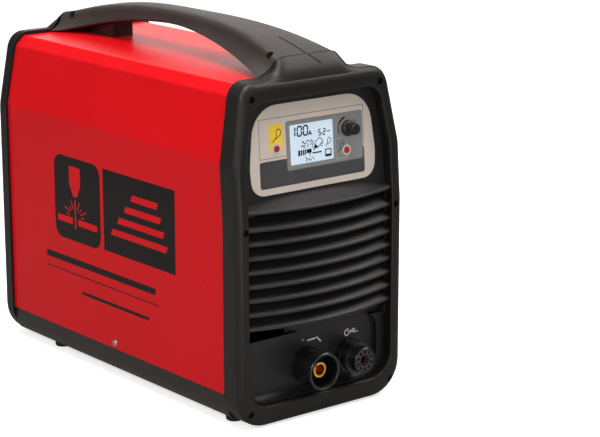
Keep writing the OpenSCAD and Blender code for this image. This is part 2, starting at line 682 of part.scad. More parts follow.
// Lower edge of the tray: floor, sloped strip and side, moved in by the thickness t
function tray_bend(t) = [
    [tray_half - 22 - t * 0.2, tray_low + t], [tray_half - 14 - t * 0.4, tray_low + t],
    for (a = [-80:16:0]) [tray_half - 12 + (12 - t) * cos(a), 24 + (19.1 - t) * sin(a)]];

foot_at = [for (x = [-92, 92], y = [46, 403]) [x, y]];
module feet() color("#141414") case_place() for (p = foot_at) translate([p[0], p[1], 0])
    difference() {
        rotate_extrude($fn = 48) polygon([[0, -lift], [8.4, -lift], [9.6, 1 - lift],
            [10.2, tray_low - 0.05], [2.5, tray_low - 0.05], [2.5, tray_low + 5], [0, tray_low + 5]]);
        translate([0, 0, -1 - lift]) cylinder(r = 3.4, h = 4, $fn = 32);
    }

// ---- Rear plate and its fittings -----------------------------------------------

plate_rear_y = case_l - inner_depth - fit;      // outer face of the rear plate
rear_plate_t = 1.5;
plate_in_y = plate_rear_y - rear_plate_t;       // inner face of the rear plate
fan_z = 116;
fan_x = 0;
fan_hole = 52.5;                    // half the spacing of the fan's screw holes
switch_at = [-52, 306];
gland_at = [-52, 222];
reg_at = [40, 290];
inlet_at = [84, 222];
gauge_at = [84, 290];
gland_thread_r = 16;

// Steel plate with a spoked fan grille and the holes for the fittings
module rear_plate() color("#2f2f31") case_place() difference() {
    union() {
        along_y(plate_in_y, rear_plate_t) polygon(between_edges(0.84));
        block([-90, plate_in_y, tray_top + 0.05], [180, rear_plate_t, 12]);
    }
    along_y(plate_in_y - 1, 5) difference() {
        translate([fan_x, fan_z]) for (r = [14:9:50]) difference() {
            circle(r = r + 6, $fn = 72);
            circle(r = r, $fn = 72);
        }
        translate([fan_x, fan_z]) for (a = [45, 135]) rotate(a) square([130, 5], center = true);
    }
    for (sx = [-1, 1], sz = [-1, 1])
        rod_y(fan_x + sx * fan_hole, plate_in_y - 1, fan_z + sz * fan_hole, 2.15, 5);
    rod_y(switch_at[0], plate_in_y - 1, switch_at[1], 5.5, 5);
    rod_y(gland_at[0], plate_in_y - 1, gland_at[1], gland_thread_r + fit, 5);
    rod_y(reg_at[0], plate_in_y - 1, reg_at[1], 15.1, 5);
    rod_y(inlet_at[0], plate_in_y - 1, inlet_at[1], 8.1, 5);
    rod_y(gauge_at[0], plate_in_y - 1, gauge_at[1], 18.2, 5);
    boss_notches(plate_in_y - 1, 5);
}

// Axial fan: square housing with a round duct, and struts that hold the motor
fan_deep = 38;
fan_y = plate_in_y - fan_deep - 0.05;
module fan_frame() color("#1b1b1c") case_place() translate([fan_x, fan_y, fan_z]) {
    difference() {
        translate([0, fan_deep, 0]) rotate([90, 0, 0]) linear_extrude(fan_deep)
            polygon(round_rect(fan_size, fan_size, 7));
        rod_y(0, -1, 0, 57, fan_deep + 2);
        for (sx = [-1, 1], sz = [-1, 1]) rod_y(sx * fan_hole, -1, sz * fan_hole, 2.15, fan_deep + 2);
        // waist between the two flanges
        for (a = [0:90:270]) rotate([0, a, 0]) block([-46, 5, 58.2], [92, fan_deep - 10, 6]);
    }
    // motor carrier at the inner end with three struts
    rod_y(0, 0.5, 0, 22, 4);
    for (a = [30:120:270]) rotate([0, a, 0]) block([-2.5, 0.5, 20], [5, 4, 38]);
    rod_y(0, 4, 0, 2, 26);
}
// Fan wheel: hub with seven pitched blades, turning on the motor's pin
fan_blades = 7;
module fan_rotor() color("#242425") case_place() translate([fan_x, fan_y, fan_z]) {
    difference() {
        rod_y(0, 6, 0, 21, 28);
        rod_y(0, 5, 0, 2.05, 26);
    }
    intersection() {
        for (i = [0:fan_blades - 1]) rotate([0, i * 360 / fan_blades, 0])
            translate([0, 20, 38]) rotate([0, 0, 38]) cube([34, 2.2, 36.8], center = true);
        difference() {
            rod_y(0, 8, 0, 55.5, 25);
            rod_y(0, 7, 0, 20.5, 27);
        }
    }
}

// Main switch: cam housing inside, square rosette outside
module main_switch_body() color("#26272a") case_place() {
    translate([switch_at[0], 0, switch_at[1]]) difference() {
        union() {
            along_y(plate_rear_y + 0.05, 3) polygon(round_rect(48, 48, 4));
            along_y(plate_in_y - 46, 45.9) polygon(round_rect(42, 44, 3));
            rod_y(0, plate_in_y - 0.2, 0, 5.3, 3);
        }
        rod_y(0, plate_in_y - 20, 0, 4.05, 40);
    }
}
module main_switch_knob() color("#101011") case_place()
    translate([switch_at[0], 0, switch_at[1]]) {
        y = plate_rear_y + 3.4;
        turned_y(0, 0, [[0, y], [17, y], [17, y + 3], [15.6, y + 4.4], [0, y + 4.4]]);
        along_y(y + 4, 17) polygon(round_rect(9, 38, 4.4));
        rod_y(0, y - 18, 0, 4, 19);
    }

// Mains cable gland: threaded body with a hexagon and a clamping cap
module cable_gland() color("#17171a") case_place() difference() {
    union() {
        rod_y(gland_at[0], plate_in_y - 12, gland_at[1], gland_thread_r, 14);
        translate([gland_at[0], plate_rear_y + 0.05, gland_at[1]]) rotate([-90, 0, 0])
            cylinder(d = 38, h = 7, $fn = 6);
        turned_y(gland_at[0], gland_at[1], [[0, plate_rear_y + 7], [16.4, plate_rear_y + 7],
            [16.4, plate_rear_y + 20], [12, plate_rear_y + gland_out], [0, plate_rear_y + gland_out]]);
        for (a = [0:30:330]) translate([gland_at[0], plate_rear_y + 8, gland_at[1]])
            rotate([0, a, 0]) block([-1.6, 0, 15], [3.2, 11, 2.6]);
    }
    rod_y(gland_at[0], plate_in_y - 20, gland_at[1], gland_bore / 2, 80);
}
module gland_nut() color("#17171a") case_place()
    hex_nut_y(gland_at[0], plate_in_y - 7.05, gland_at[1], 38, gland_thread_r + fit, 7);

// Compressed-air inlet: bulkhead fitting with a male thread at the back
inlet_thread_r = 6.58;
module air_inlet() color("#c9a24a") case_place() difference() {
    union() {
        rod_y(inlet_at[0], plate_in_y - 16, inlet_at[1], 8, 18);
        translate([inlet_at[0], plate_rear_y + 0.05, inlet_at[1]]) rotate([-90, 0, 0])
            cylinder(d = 24, h = 8, $fn = 6);
        turned_y(inlet_at[0], inlet_at[1], [[0, plate_rear_y + 7], [inlet_thread_r - 0.8, plate_rear_y + 8],
            [inlet_thread_r - 0.8, plate_rear_y + 10], [inlet_thread_r, plate_rear_y + 10.8],
            [inlet_thread_r, plate_rear_y + 22], [inlet_thread_r - 0.8, plate_rear_y + 23],
            [0, plate_rear_y + 23]]);
    }
    rod_y(inlet_at[0], plate_in_y - 20, inlet_at[1], 3.6, 80);
}

// Pressure regulator: body inside, panel ring, and a knob that lifts to unlock
module regulator_body() color("#c3c6c9") case_place() difference() {
    union() {
        along_y(plate_in_y - 46, 42) translate([reg_at[0], reg_at[1]]) polygon(round_rect(40, 40, 5));
        rod_y(reg_at[0], plate_in_y - 5, reg_at[1], 15, 12);
        rod_y(reg_at[0], plate_rear_y + 0.05, reg_at[1], 18, 4);
        // inlet spud below and outlet spud at the inner end
        translate([reg_at[0], hose_in_y, reg_at[1] - 28]) cylinder(r = 7, h = 9, $fn = 40);
        rod_y(reg_at[0], plate_in_y - 52, reg_at[1], 7, 7);
    }
    rod_y(reg_at[0], plate_in_y - 30, reg_at[1], 6.05, 60);
}
reg_lift = 4;
module regulator_lock_ring() color("#d97a1e") case_place() {
    y = plate_rear_y + 7.1;
    rod_y(reg_at[0], y - 27, reg_at[1], 6, 35);
    rod_y(reg_at[0], y, reg_at[1], reg_knob_d / 2 - 1, 2.4);
}
module regulator_knob() color("#1d1d1f") case_place() difference() {
    y = plate_rear_y + 9.7;
    union() {
        turned_y(reg_at[0], reg_at[1], [[0, y], [reg_knob_d / 2, y], [reg_knob_d / 2, y + 15],
            [reg_knob_d / 2 - 2, y + 18], [0, y + 18.4]]);
        for (a = [0:24:336]) translate([reg_at[0], 0, reg_at[1]]) rotate([0, a, 0])
            rod_y(reg_knob_d / 2 - 0.3, y + 1, 0, 1.3, 13);
    }
    rod_y(reg_at[0], y - 1, reg_at[1], 6.05, 8);
}

// Pressure gauge: cupped case with a bezel, needle on a pin, and a clear lens
gauge_deep = 20;
module gauge_body() color("#1a1a1c") case_place() {
    y = plate_rear_y;
    turned_y(gauge_at[0], gauge_at[1], [[0, plate_in_y - gauge_deep], [18, plate_in_y - gauge_deep],
        [18, y + 0.05], [19.6, y + 0.05], [19.6, y + 6.6], [19.2, y + 7.4], [18.4, y + 7.4], [18.4, y + 6],
        [17, y + 6], [17, y + 1], [0, y + 1]]);
    rod_y(gauge_at[0], y + 0.5, gauge_at[1], 0.9, 3.6);
    rod_y(gauge_at[0], plate_in_y - gauge_deep - 8, gauge_at[1], 5, 8.2);
}
needle_rest = 135;                  // the needle lies low on its left at no pressure
module gauge_needle() color("#e8e8e8") case_place()
    translate([gauge_at[0], plate_rear_y + 1.8, gauge_at[1]]) difference() {
        union() {
            rod_y(0, 0, 0, 2.2, 1);
            rotate([0, needle_rest, 0]) along_y(0, 1) polygon([[-0.9, -4], [0.9, -4], [0.3, 14], [-0.3, 14]]);
        }
        rod_y(0, -1, 0, 0.95, 4);
    }
module gauge_lens() color("#e9f2f5", 0.35) case_place()
    rod_y(gauge_at[0], plate_rear_y + 6.05, gauge_at[1], 18.3, 1.3);

// ---- Inside --------------------------------------------------------------------

deck_z = 186;
deck_t = 1.5;
tray_top = tray_low + tray_t;
deck_y = [64, 462];
deck_half = 88;
// Horizontal steel deck over the fan tunnel, on four posts
module deck_plate() color("#9aa0a3") case_place() difference() {
    block([-deck_half, deck_y[0], deck_z], [2 * deck_half, deck_y[1] - deck_y[0], deck_t]);
    for (p = post_at) translate([p[0], p[1], deck_z - 1]) cylinder(r = 2.2, h = 5, $fn = 24);
    block([-40, 128, deck_z - 1], [80, 214, 5]);
}
post_at = [for (x = [-80, 80], y = [76, 424]) [x, y]];
module deck_posts() color("#b4b8bb") case_place() for (p = post_at)
    translate([p[0], p[1], tray_top]) difference() {
        cylinder(r = 5, h = deck_z - tray_top, $fn = 40);
        translate([0, 0, deck_z - tray_top - 12]) cylinder(r = 2.1, h = 20, $fn = 24);
    }

// Finned heat sink: its base lies on the deck and its fins hang in the tunnel
fin_pitch = 8;
sink_z = deck_z + deck_t + 0.05;
sink_base = 8;
sink_half = 60;
module heat_sink() color("#b7bbbe") case_place() along_y(130, 210)
    polygon(concat([[sink_half, sink_z], [sink_half, sink_z + sink_base],
        [-sink_half, sink_z + sink_base], [-sink_half, sink_z]],
        [for (i = [0:8]) let(x = -33 + i * fin_pitch)
            each [[x, sink_z], [x, sink_z - 60], [x + 2, sink_z - 60], [x + 2, sink_z]]]));
module_h = 16;
module_z = sink_z + sink_base + 0.05;
module power_modules() color("#232324") case_place() for (y = [150, 215, 280])
    block([-30, y, module_z], [60, 44, module_h]);
// Power board on the modules, with its relays and filter chokes
board_z = module_z + module_h + 0.05;
board_t = 1.6;
module power_board() color("#1f5a36") case_place() {
    difference() {
        block([-92, 112, board_z], [184, 268, board_t]);
        for (x = [-86, 86], y = [118, 374])
            translate([x, y, board_z - 1]) cylinder(r = 2, h = 4, $fn = 24);
    }
    for (x = [-70, 58]) block([x, 126, board_z + 1.5], [22, 30, 24]);
    for (y = [180:28:330]) block([-88, y, board_z + 1.5], [16, 18, 15]);
}
module capacitors() color("#2a3350") case_place() for (x = [-24, 14, 52], y = [250, 300, 350])
    translate([x, y, board_z + board_t + 0.05]) {
        cylinder(r = 16, h = 48, $fn = 48);
        translate([0, 0, 47]) cylinder(r = 14.6, h = 1.8, $fn = 48);
    }
// Control board upright behind the front panel, on the grille's pillars
module control_board() color("#1f5a36") case_place() {
    block([-84, board_y, 236], [168, board_t, 116]);
    for (x = [-66, -20, 30]) block([x, board_y + 1.5, 262], [26, 6, 20]);
    block([-50, board_y + 1.5, 316], [90, 9, 12]);
}

// Main transformer: ferrite E cores, with the winding round the middle leg
trafo_at = [-50, 233, tray_top + 0.05];
module transformer_core() color("#3a3b3d") case_place() translate(trafo_at) difference() {
    block([-28, -43, 0], [56, 86, 78]);
    for (y = [-29, 9]) block([-30, y, 14], [60, 20, 50]);
}
module transformer_winding() color("#b8702f") case_place() translate(trafo_at)
    translate([0, 0, 15]) linear_extrude(48) difference() {
        polygon(round_rect(92, 57, 14));
        square([56.6, 18.6], center = true);
    }
// Output choke: ring core inside its winding, lying on the tray
choke_at = [52, 236, tray_top + 0.05];
module inductor_core() color("#55584d") case_place() translate(choke_at) rotate_extrude($fn = 72)
    translate([27, 8]) square([14, 24]);
module inductor_winding() color("#b8702f") case_place() translate(choke_at) difference() {
    rotate_extrude(angle = 320, $fn = 72) translate([21, 0]) square([25, 40]);
    rotate_extrude($fn = 72) translate([26.9, 7.9]) square([14.2, 24.2]);
}

// Copper bars from the sockets up and back to the power board
module busbar(x, half, y, hole_r, run) {
    difference() {
        block([x - half, y, socket_z - 12], [2 * half, 3, board_z - 3.2 - socket_z + 12]);
        rod_y(x, y - 5, socket_z, hole_r, 20);
    }
    block([x - half, y, board_z - 3.2], [2 * half, run, 3]);
}
module earth_busbar() color("#c07a3e") case_place()
    busbar(earth_x, 10, pocket_y + 17.1, 4.1, 84);
module torch_busbar() color("#c07a3e") case_place()
    busbar(torch_x, 12, pocket_y + 26, torch_tube_r + fit, 76);

// ---- Air circuit ---------------------------------------------------------------

hose_r = 4;
hose_bore_r = 2.6;
hose_bend_r = 18;
hose_in_y = plate_in_y - 38;        // where the inlet hose rises to the regulator
valve_at = [45, 405, deck_z + deck_t + 0.05];

// Solenoid valve on the deck: brass block, inlet on top, outlet at the side, coil
module solenoid_valve() color("#3b3d42") case_place() translate(valve_at) {
    block([-25, -17, 0], [50, 34, 26]);
    translate([-5, 0, 25]) cylinder(r = 7, h = 10, $fn = 40);
    block([5, -14, 25], [20, 28, 34]);
    translate([24, 0, 12.5]) rotate([0, 90, 0]) cylinder(r = 7, h = 8, $fn = 40);
}

module hose_ring() difference() {
    circle(r = hose_r, $fn = 32);
    circle(r = hose_bore_r, $fn = 32);
}
// Draws children with their X, Y and Z along u, v and w, from the point at
module framed(at, u, v, w) multmatrix([[u[0], v[0], w[0], at[0]], [u[1], v[1], w[1], at[1]],
    [u[2], v[2], w[2], at[2]], [0, 0, 0, 1]]) children();
// Hose through right-angled corners, each turned at the hose's bend radius
module hose(p) {
    n = len(p) - 1;
    d = [for (i = [0:n - 1]) unit(p[i + 1] - p[i])];
    for (i = [0:n - 1]) {
        a = p[i] + (i > 0 ? hose_bend_r : 0) * d[i];
        b = p[i + 1] - (i < n - 1 ? hose_bend_r : 0) * d[i];
        side = abs(d[i][2]) > 0.5 ? [1, 0, 0] : [0, 0, 1];
        framed(a, side, cross(d[i], side), d[i]) linear_extrude(norm(b - a)) hose_ring();
    }
    for (i = [1:n - 1])
        framed(p[i] + hose_bend_r * (d[i] - d[i - 1]), -d[i], d[i - 1], cross(d[i - 1], d[i]))
            rotate_extrude(angle = 90, $fn = 64) translate([hose_bend_r, 0]) hose_ring();
}
// From the inlet across and up to the regulator
module air_hose_in() color("#2f6fb0") case_place() hose([
    [inlet_at[0], plate_in_y - 16.05, inlet_at[1]], [inlet_at[0], hose_in_y, inlet_at[1]],
    [reg_at[0], hose_in_y, inlet_at[1]], [reg_at[0], hose_in_y, reg_at[1] - 28.05]]);
// From the regulator forward and down to the valve
module air_hose_link() color("#2f6fb0") case_place() hose([
    [reg_at[0], plate_in_y - 52.05, reg_at[1]], [reg_at[0], valve_at[1], reg_at[1]],
    [reg_at[0], valve_at[1], valve_at[2] + 35.05]]);
// From the valve forward beside the deck, and down to the torch socket's tube
hose_side_x = 103;
module air_hose_out() color("#2f6fb0") case_place() {
    z = valve_at[2] + 12.5;
    hose([[torch_x, torch_tube_end + 0.05, socket_z], [torch_x, 88, socket_z],
        [hose_side_x, 88, socket_z], [hose_side_x, 88, z], [hose_side_x, valve_at[1], z],
        [valve_at[0] + 32.05, valve_at[1], z]]);
}

// ---- Drawing -------------------------------------------------------------------

front_frame();
front_grille();
front_screws();
control_panel();
lcd_window();
lcd_module();
display_board();
left_button();
right_button();
encoder_body();
encoder_shaft();
encoder_knob();
earth_socket_body();
earth_socket_insert();
earth_socket_nut();
torch_socket_body();
torch_socket_core();
torch_socket_tube();
torch_socket_nut();
cover();
cover_screws();
base_tray();
feet();
rear_frame();
rear_plate();
rear_screws();
handle();
handle_support();
handle_screws();
fan_frame();
fan_rotor();
main_switch_body();
main_switch_knob();
cable_gland();
gland_nut();
air_inlet();
regulator_body();
regulator_lock_ring();
regulator_knob();
gauge_body();
gauge_needle();
gauge_lens();
solenoid_valve();
air_hose_in();
air_hose_link();
air_hose_out();
deck_plate();
deck_posts();
heat_sink();
power_modules();
power_board();
control_board();
capacitors();
transformer_core();
transformer_winding();
inductor_core();
inductor_winding();
earth_busbar();
torch_busbar();
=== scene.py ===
# %% [markdown]
# # A plasma cutter unit
# A portable cutter is a folded steel cover between two moulded plastic ends, with a carrying
# arch on top. Its solids were made in a CAD program and come in as a fixed frame. This lesson
# gives each of them the finish that its material has. It then adds what is thin or printed: the
# front frame's lip and the edge of its skirt, the skin of its horn with a seam and creases in
# painted shade, the print on the panel, the display's segments, the marks on the back and the
# cover's graphics.

# %% Load the solids
import math

import bmesh
import bpy
import numpy as np
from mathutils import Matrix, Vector


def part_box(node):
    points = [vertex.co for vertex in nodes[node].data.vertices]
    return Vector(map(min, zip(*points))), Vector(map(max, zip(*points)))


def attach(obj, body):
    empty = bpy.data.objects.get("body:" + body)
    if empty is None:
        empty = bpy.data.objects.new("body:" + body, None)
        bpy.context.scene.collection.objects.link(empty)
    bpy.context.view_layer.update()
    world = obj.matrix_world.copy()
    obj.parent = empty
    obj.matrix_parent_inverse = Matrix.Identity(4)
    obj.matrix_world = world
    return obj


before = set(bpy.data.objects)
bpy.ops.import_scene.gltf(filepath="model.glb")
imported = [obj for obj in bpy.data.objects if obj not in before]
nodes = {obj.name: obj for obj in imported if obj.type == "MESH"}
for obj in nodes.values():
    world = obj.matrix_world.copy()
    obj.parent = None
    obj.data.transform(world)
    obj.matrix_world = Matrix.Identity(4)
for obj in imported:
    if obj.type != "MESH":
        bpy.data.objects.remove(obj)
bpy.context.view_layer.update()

# %% [markdown]
# ## Case coordinates
# Sizes on a case are read from its front lip and from a datum plane close to the ground, in
# millimetres. One function turns such a point into the frame's metres. The front frame's own
# box says where the lip is, and the cover's lower edge, 35 mm above the datum, how high that is.

# %% Case millimetres to metres
MM = 0.001
LIP_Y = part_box("front_frame")[0].y
DATUM_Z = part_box("cover")[0].z - 35 * MM


def metres(points):
    """Points in case millimetres, y = 0 at the front lip, as metres in the frame."""
    p = np.asarray(points, float) * MM
    p[..., 1] += LIP_Y
    p[..., 2] += DATUM_Z
    return p


print("front lip at y =", round(LIP_Y, 5), "datum plane at z =", round(DATUM_Z, 5))

# %% [markdown]
# ## Camera
# The unit is seen from its left front, about 39 degrees round and 14 degrees above, through a
# long lens, so its far edges shrink little.

# %% Camera
AZIMUTH, ELEVATION = 39.19, 14.23           # degrees round from the front, and above level
CAMERA_AT = (-1427.4, -1710.0, 791.0)       # in case millimetres
LENS_MM, SENSOR_MM = 123.0, 36.0

camera = bpy.data.objects.new("camera", bpy.data.cameras.new("camera"))
bpy.context.scene.collection.objects.link(camera)
camera.location = metres(CAMERA_AT)
camera.rotation_euler = (math.radians(90 - ELEVATION), 0, math.radians(-AZIMUTH))
camera.data.lens, camera.data.sensor_width = LENS_MM, SENSOR_MM
camera.data.clip_start, camera.data.clip_end = 0.05, 60
bpy.context.scene.camera = camera
bpy.context.scene.view_settings.view_transform = "Standard"
print("camera at", [round(c, 3) for c in camera.location], "metres")

# %% [markdown]
# ## Colours and nodes
# Colours are written as sRGB hex values, as a paint chart gives them, and one function turns
# them to the linear values that a shader works in. One more function adds a node with its
# settings and links. With these two every finish below is a short list.

# %% Colours and nodes
def linear(hex_colour):
    """sRGB hex such as '#c4161c' as linear red, green, blue and alpha 1."""
    s = np.array([int(hex_colour[i:i + 2], 16) for i in (1, 3, 5)]) / 255
    low = s <= 0.04045
    return (*np.where(low, s / 12.92, ((s + 0.055) / 1.055) ** 2.4).tolist(), 1.0)


def add(tree, kind, settings=(), **sockets):
    """Adds a node. Settings are its properties; sockets are values, or outputs to link from.

    A socket is given by its name, with _ for a space, or by _ and its number.
    """
    made = tree.nodes.new(kind)
    for name, value in dict(settings).items():
        setattr(made, name, value)
    for name, value in sockets.items():
        socket = made.inputs[int(name[1:]) if name[1:].isdigit() else name.replace("_", " ")]
        if isinstance(value, bpy.types.NodeSocket):
            tree.links.new(value, socket)
        else:
            socket.default_value = value
    return made


PATCH_LOW, PATCH_HIGH = 0.3, 0.7    # the noise between these two blends one tone into the other
BUMP_STRENGTH = 0.6


def finish_of(name, tones, patch_mm, rough, bump, **shader):
    """A finish: two tones mixed by soft patches, roughness that varies with them, and bumps.

    tones are two hex colours, patch_mm is the size of the patches, and rough the roughness at
    the one tone and at the other. Each bump is (size in mm, depth in mm, detail of the noise).
    Further arguments are set on the Principled shader's sockets by their names.
    """
    material = bpy.data.materials.new(name)
    material.use_nodes = True
    tree = material.node_tree
    tree.nodes.clear()
    where = add(tree, "ShaderNodeTexCoord").outputs["Object"]
    patches = add(tree, "ShaderNodeTexNoise", Vector=where, Scale=1 / (patch_mm * MM), Detail=3.0)
    ramp = add(tree, "ShaderNodeValToRGB", Fac=patches.outputs["Fac"])
    first, second = ramp.color_ramp.elements
    first.position, second.position = PATCH_LOW, PATCH_HIGH
    first.color, second.color = map(linear, tones)
    spread = add(tree, "ShaderNodeMapRange", Value=patches.outputs["Fac"], From_Min=PATCH_LOW,
                 From_Max=PATCH_HIGH, To_Min=rough[0], To_Max=rough[1])
    principled = add(tree, "ShaderNodeBsdfPrincipled", Base_Color=ramp.outputs["Color"],
                     Roughness=spread.outputs["Result"], **shader)
    normal = None
    for size_mm, depth_mm, detail in bump:
        grain = add(tree, "ShaderNodeTexNoise", Vector=where, Scale=1 / (size_mm * MM),
                    Detail=detail)
        link = {"Normal": normal} if normal else {}
        normal = add(tree, "ShaderNodeBump", Height=grain.outputs["Fac"], Distance=depth_mm * MM,
                     Strength=BUMP_STRENGTH, **link).outputs["Normal"]
    if normal:
        tree.links.new(normal, principled.inputs["Normal"])
    out = add(tree, "ShaderNodeOutputMaterial", Surface=principled.outputs["BSDF"])
    out.is_active_output = True
    return material


# %% [markdown]
# ## Finishes
# Each finish starts from what the material is and how its surface was made. The numbers are
# typical values for it, then matched to the unit: how dark, how glossy and how coarse.

# %% Plastics
# ABS from a spark-eroded mould: even charcoal, matte, with a fine grain. The real grain is
# about 0.3 mm; it is drawn at 1.4 mm so that it shows.
frame_abs = finish_of("ABS spark-eroded charcoal", ("#0c0b0a", "#100f0e"), 70, (0.42, 0.5),
                      [(1.4, 0.05, 2.0)], IOR=1.53, Specular_IOR_Level=0.34)
grille_abs = finish_of("ABS spark-eroded black-brown", ("#171617", "#1d1c1e"), 50, (0.42, 0.5),
                       [(1.4, 0.05, 2.0)], IOR=1.53, Specular_IOR_Level=0.4)
# Glass-filled nylon of the arch: a little lighter and warmer, with a coarser leather-like grain.
grip_nylon = finish_of("nylon glass-filled warm grey", ("#2a2624", "#332e2b"), 45, (0.46, 0.56),
                       [(1.8, 0.08, 3.0)], IOR=1.53)
# Phenolic and nylon of sockets and knobs: blacker and smoother, from a polished mould.
socket_black = finish_of("nylon polished-mould black", ("#111112", "#1a1a1b"), 20, (0.22, 0.32),
                         [(2.5, 0.01, 1.0)], IOR=1.53)
knob_black = finish_of("ABS moulded soft black", ("#0f0e0e", "#181717"), 15, (0.38, 0.46),
                       [(0.8, 0.02, 2.0)], IOR=1.5)
core_grey = finish_of("PTFE-filled nylon dark grey", ("#26272a", "#323338"), 12, (0.35, 0.45),
                      [(0.8, 0.01, 1.0)], IOR=1.45)
button_red = finish_of("ABS moulded red", ("#b3121d", "#c81e2a"), 6, (0.28, 0.36), [], IOR=1.53)
collar_orange = finish_of("acetal moulded orange", ("#cf6a17", "#dd7f28"), 10, (0.3, 0.4), [],
                          IOR=1.48)
foot_rubber = finish_of("rubber moulded black", ("#131313", "#1d1c1c"), 20, (0.7, 0.85),
                        [(1.2, 0.05, 3.0)], IOR=1.5)
hose_blue = finish_of("polyurethane hose blue", ("#1f5c98", "#2a6cab"), 40, (0.25, 0.35), [],
                      IOR=1.5)

# %% Paints and metals
# Powder coat, sprayed dry and baked: it flows out glossy with a slight orange peel, whose waves
# are about 3 mm long.
cover_red = finish_of("powder coat signal red", ("#ca0a14", "#d11019"), 160, (0.3, 0.36),
                      [(3.0, 0.008, 1.0)], IOR=1.5, Specular_IOR_Level=0.14)
tray_coat = finish_of("powder coat graphite", ("#241f1d", "#2b2623"), 120, (0.34, 0.42),
                      [(2.0, 0.03, 2.0)], IOR=1.5, Specular_IOR_Level=0.3)
plate_coat = finish_of("powder coat black", ("#232325", "#2c2c2f"), 80, (0.4, 0.5),
                       [(2.0, 0.03, 2.0)], IOR=1.5)
black_oxide = finish_of("steel black oxide", ("#1a1a1c", "#26262a"), 3, (0.34, 0.48), [],
                        Metallic=0.6)
zinc = finish_of("steel zinc-plated", ("#a9adb0", "#bfc3c6"), 8, (0.28, 0.4),
                 [(1.0, 0.01, 2.0)], Metallic=1.0)
brass = finish_of("brass turned", ("#e8b23a", "#f2c454"), 6, (0.24, 0.34), [(0.6, 0.01, 2.0)],
                  Metallic=1.0)
copper = finish_of("copper drawn", ("#c87650", "#dd9068"), 8, (0.25, 0.4), [(0.8, 0.01, 2.0)],
                   Metallic=1.0)
wire_copper = finish_of("copper enamelled wire", ("#7e3f14", "#9a5424"), 10, (0.3, 0.4),
                        [(1.5, 0.3, 1.0)], Metallic=0.7)
aluminium = finish_of("aluminium extruded", ("#a9abad", "#bfc1c3"), 20, (0.3, 0.42),
                      [(1.2, 0.02, 2.0)], Metallic=1.0)
ferrite = finish_of("ferrite sintered", ("#2a2b2d", "#37383a"), 12, (0.6, 0.75),
                    [(1.5, 0.05, 3.0)])
board_green = finish_of("solder resist green", ("#0f4226", "#17552f"), 15, (0.25, 0.4), [],
                        IOR=1.5)
sleeve_blue = finish_of("PVC shrink sleeve blue", ("#1c2a52", "#26356a"), 15, (0.3, 0.4), [],
                        IOR=1.53)
white_paint = finish_of("enamel white", ("#e2e2e0", "#efefed"), 10, (0.4, 0.5), [], IOR=1.5)

# %% Printed film
# The panel is polycarbonate film, printed on its back, so it has a soft satin gloss and every
# colour lies under the same surface.
film_beige = finish_of("film printed warm grey", ("#d9cfc5", "#dfd5cb"), 60, (0.3, 0.36),
                       [(1.2, 0.01, 2.0)], IOR=1.58)
film_grey = finish_of("film printed mid grey", ("#868889", "#909293"), 50, (0.3, 0.36), [],
                      IOR=1.58)
film_dark = finish_of("film printed dark grey", ("#414144", "#49494d"), 50, (0.3, 0.36), [],
                      IOR=1.58)
film_line = finish_of("film printed line grey", ("#75706b", "#7d7873"), 30, (0.3, 0.36), [],
                      IOR=1.58)
film_yellow = finish_of("film printed yellow", ("#ffd732", "#ffde44"), 20, (0.3, 0.36), [],
                        IOR=1.58)
film_pale = finish_of("film printed pale", ("#d6cfc8", "#dfd8d1"), 20, (0.3, 0.36), [], IOR=1.58)
film_white = finish_of("film printed white", ("#dfe1e2", "#eceeee"), 20, (0.4, 0.5), [], IOR=1.5)
ink_black = finish_of("ink black", ("#171213", "#1d1818"), 60, (0.3, 0.38), [], IOR=1.5,
                      Specular_IOR_Level=0.12)
ink_red = finish_of("ink cover red", ("#ca0a14", "#d11019"), 60, (0.3, 0.36), [], IOR=1.5,
                    Specular_IOR_Level=0.14)
# The display glows a little, as painted light, so it stays pale where the panel is in shade.
display_painted_glow = finish_of("display pale blue with painted glow", ("#bcd0e2", "#c6d9ea"), 30, (0.12, 0.16), [],
                         IOR=1.5, Emission_Color=linear("#d3e6f5"), Emission_Strength=0.38)
segment_black = finish_of("display segments", ("#0e1117", "#14171d"), 10, (0.15, 0.2), [], IOR=1.5)
clear_glass = finish_of("polycarbonate clear", ("#eef4f6", "#f6fafb"), 20, (0.04, 0.06), [],
                        IOR=1.58, Transmission_Weight=0.95)
# Painted shade for a gap or crease between mouldings: nearly black, with hardly any gloss, as the
# shade in it looks.
painted_shade_dark = finish_of("painted shade in seams and creases", ("#050505", "#070707"), 30, (0.8, 0.9), [], IOR=1.5,
                     Specular_IOR_Level=0.05)
print("finishes:", len(bpy.data.materials))

# %% [markdown]
# ## Dressing the solids
# A solid's mesh is loose triangles. A Weld modifier joins them, shading is set smooth, and an
# Edge Split modifier keeps every edge that turns by more than a set angle crisp, so round walls
# look round and corners stay corners. Weighted normals keep large flat faces flat beside small
# rounded ones. The mesh itself isn't touched.

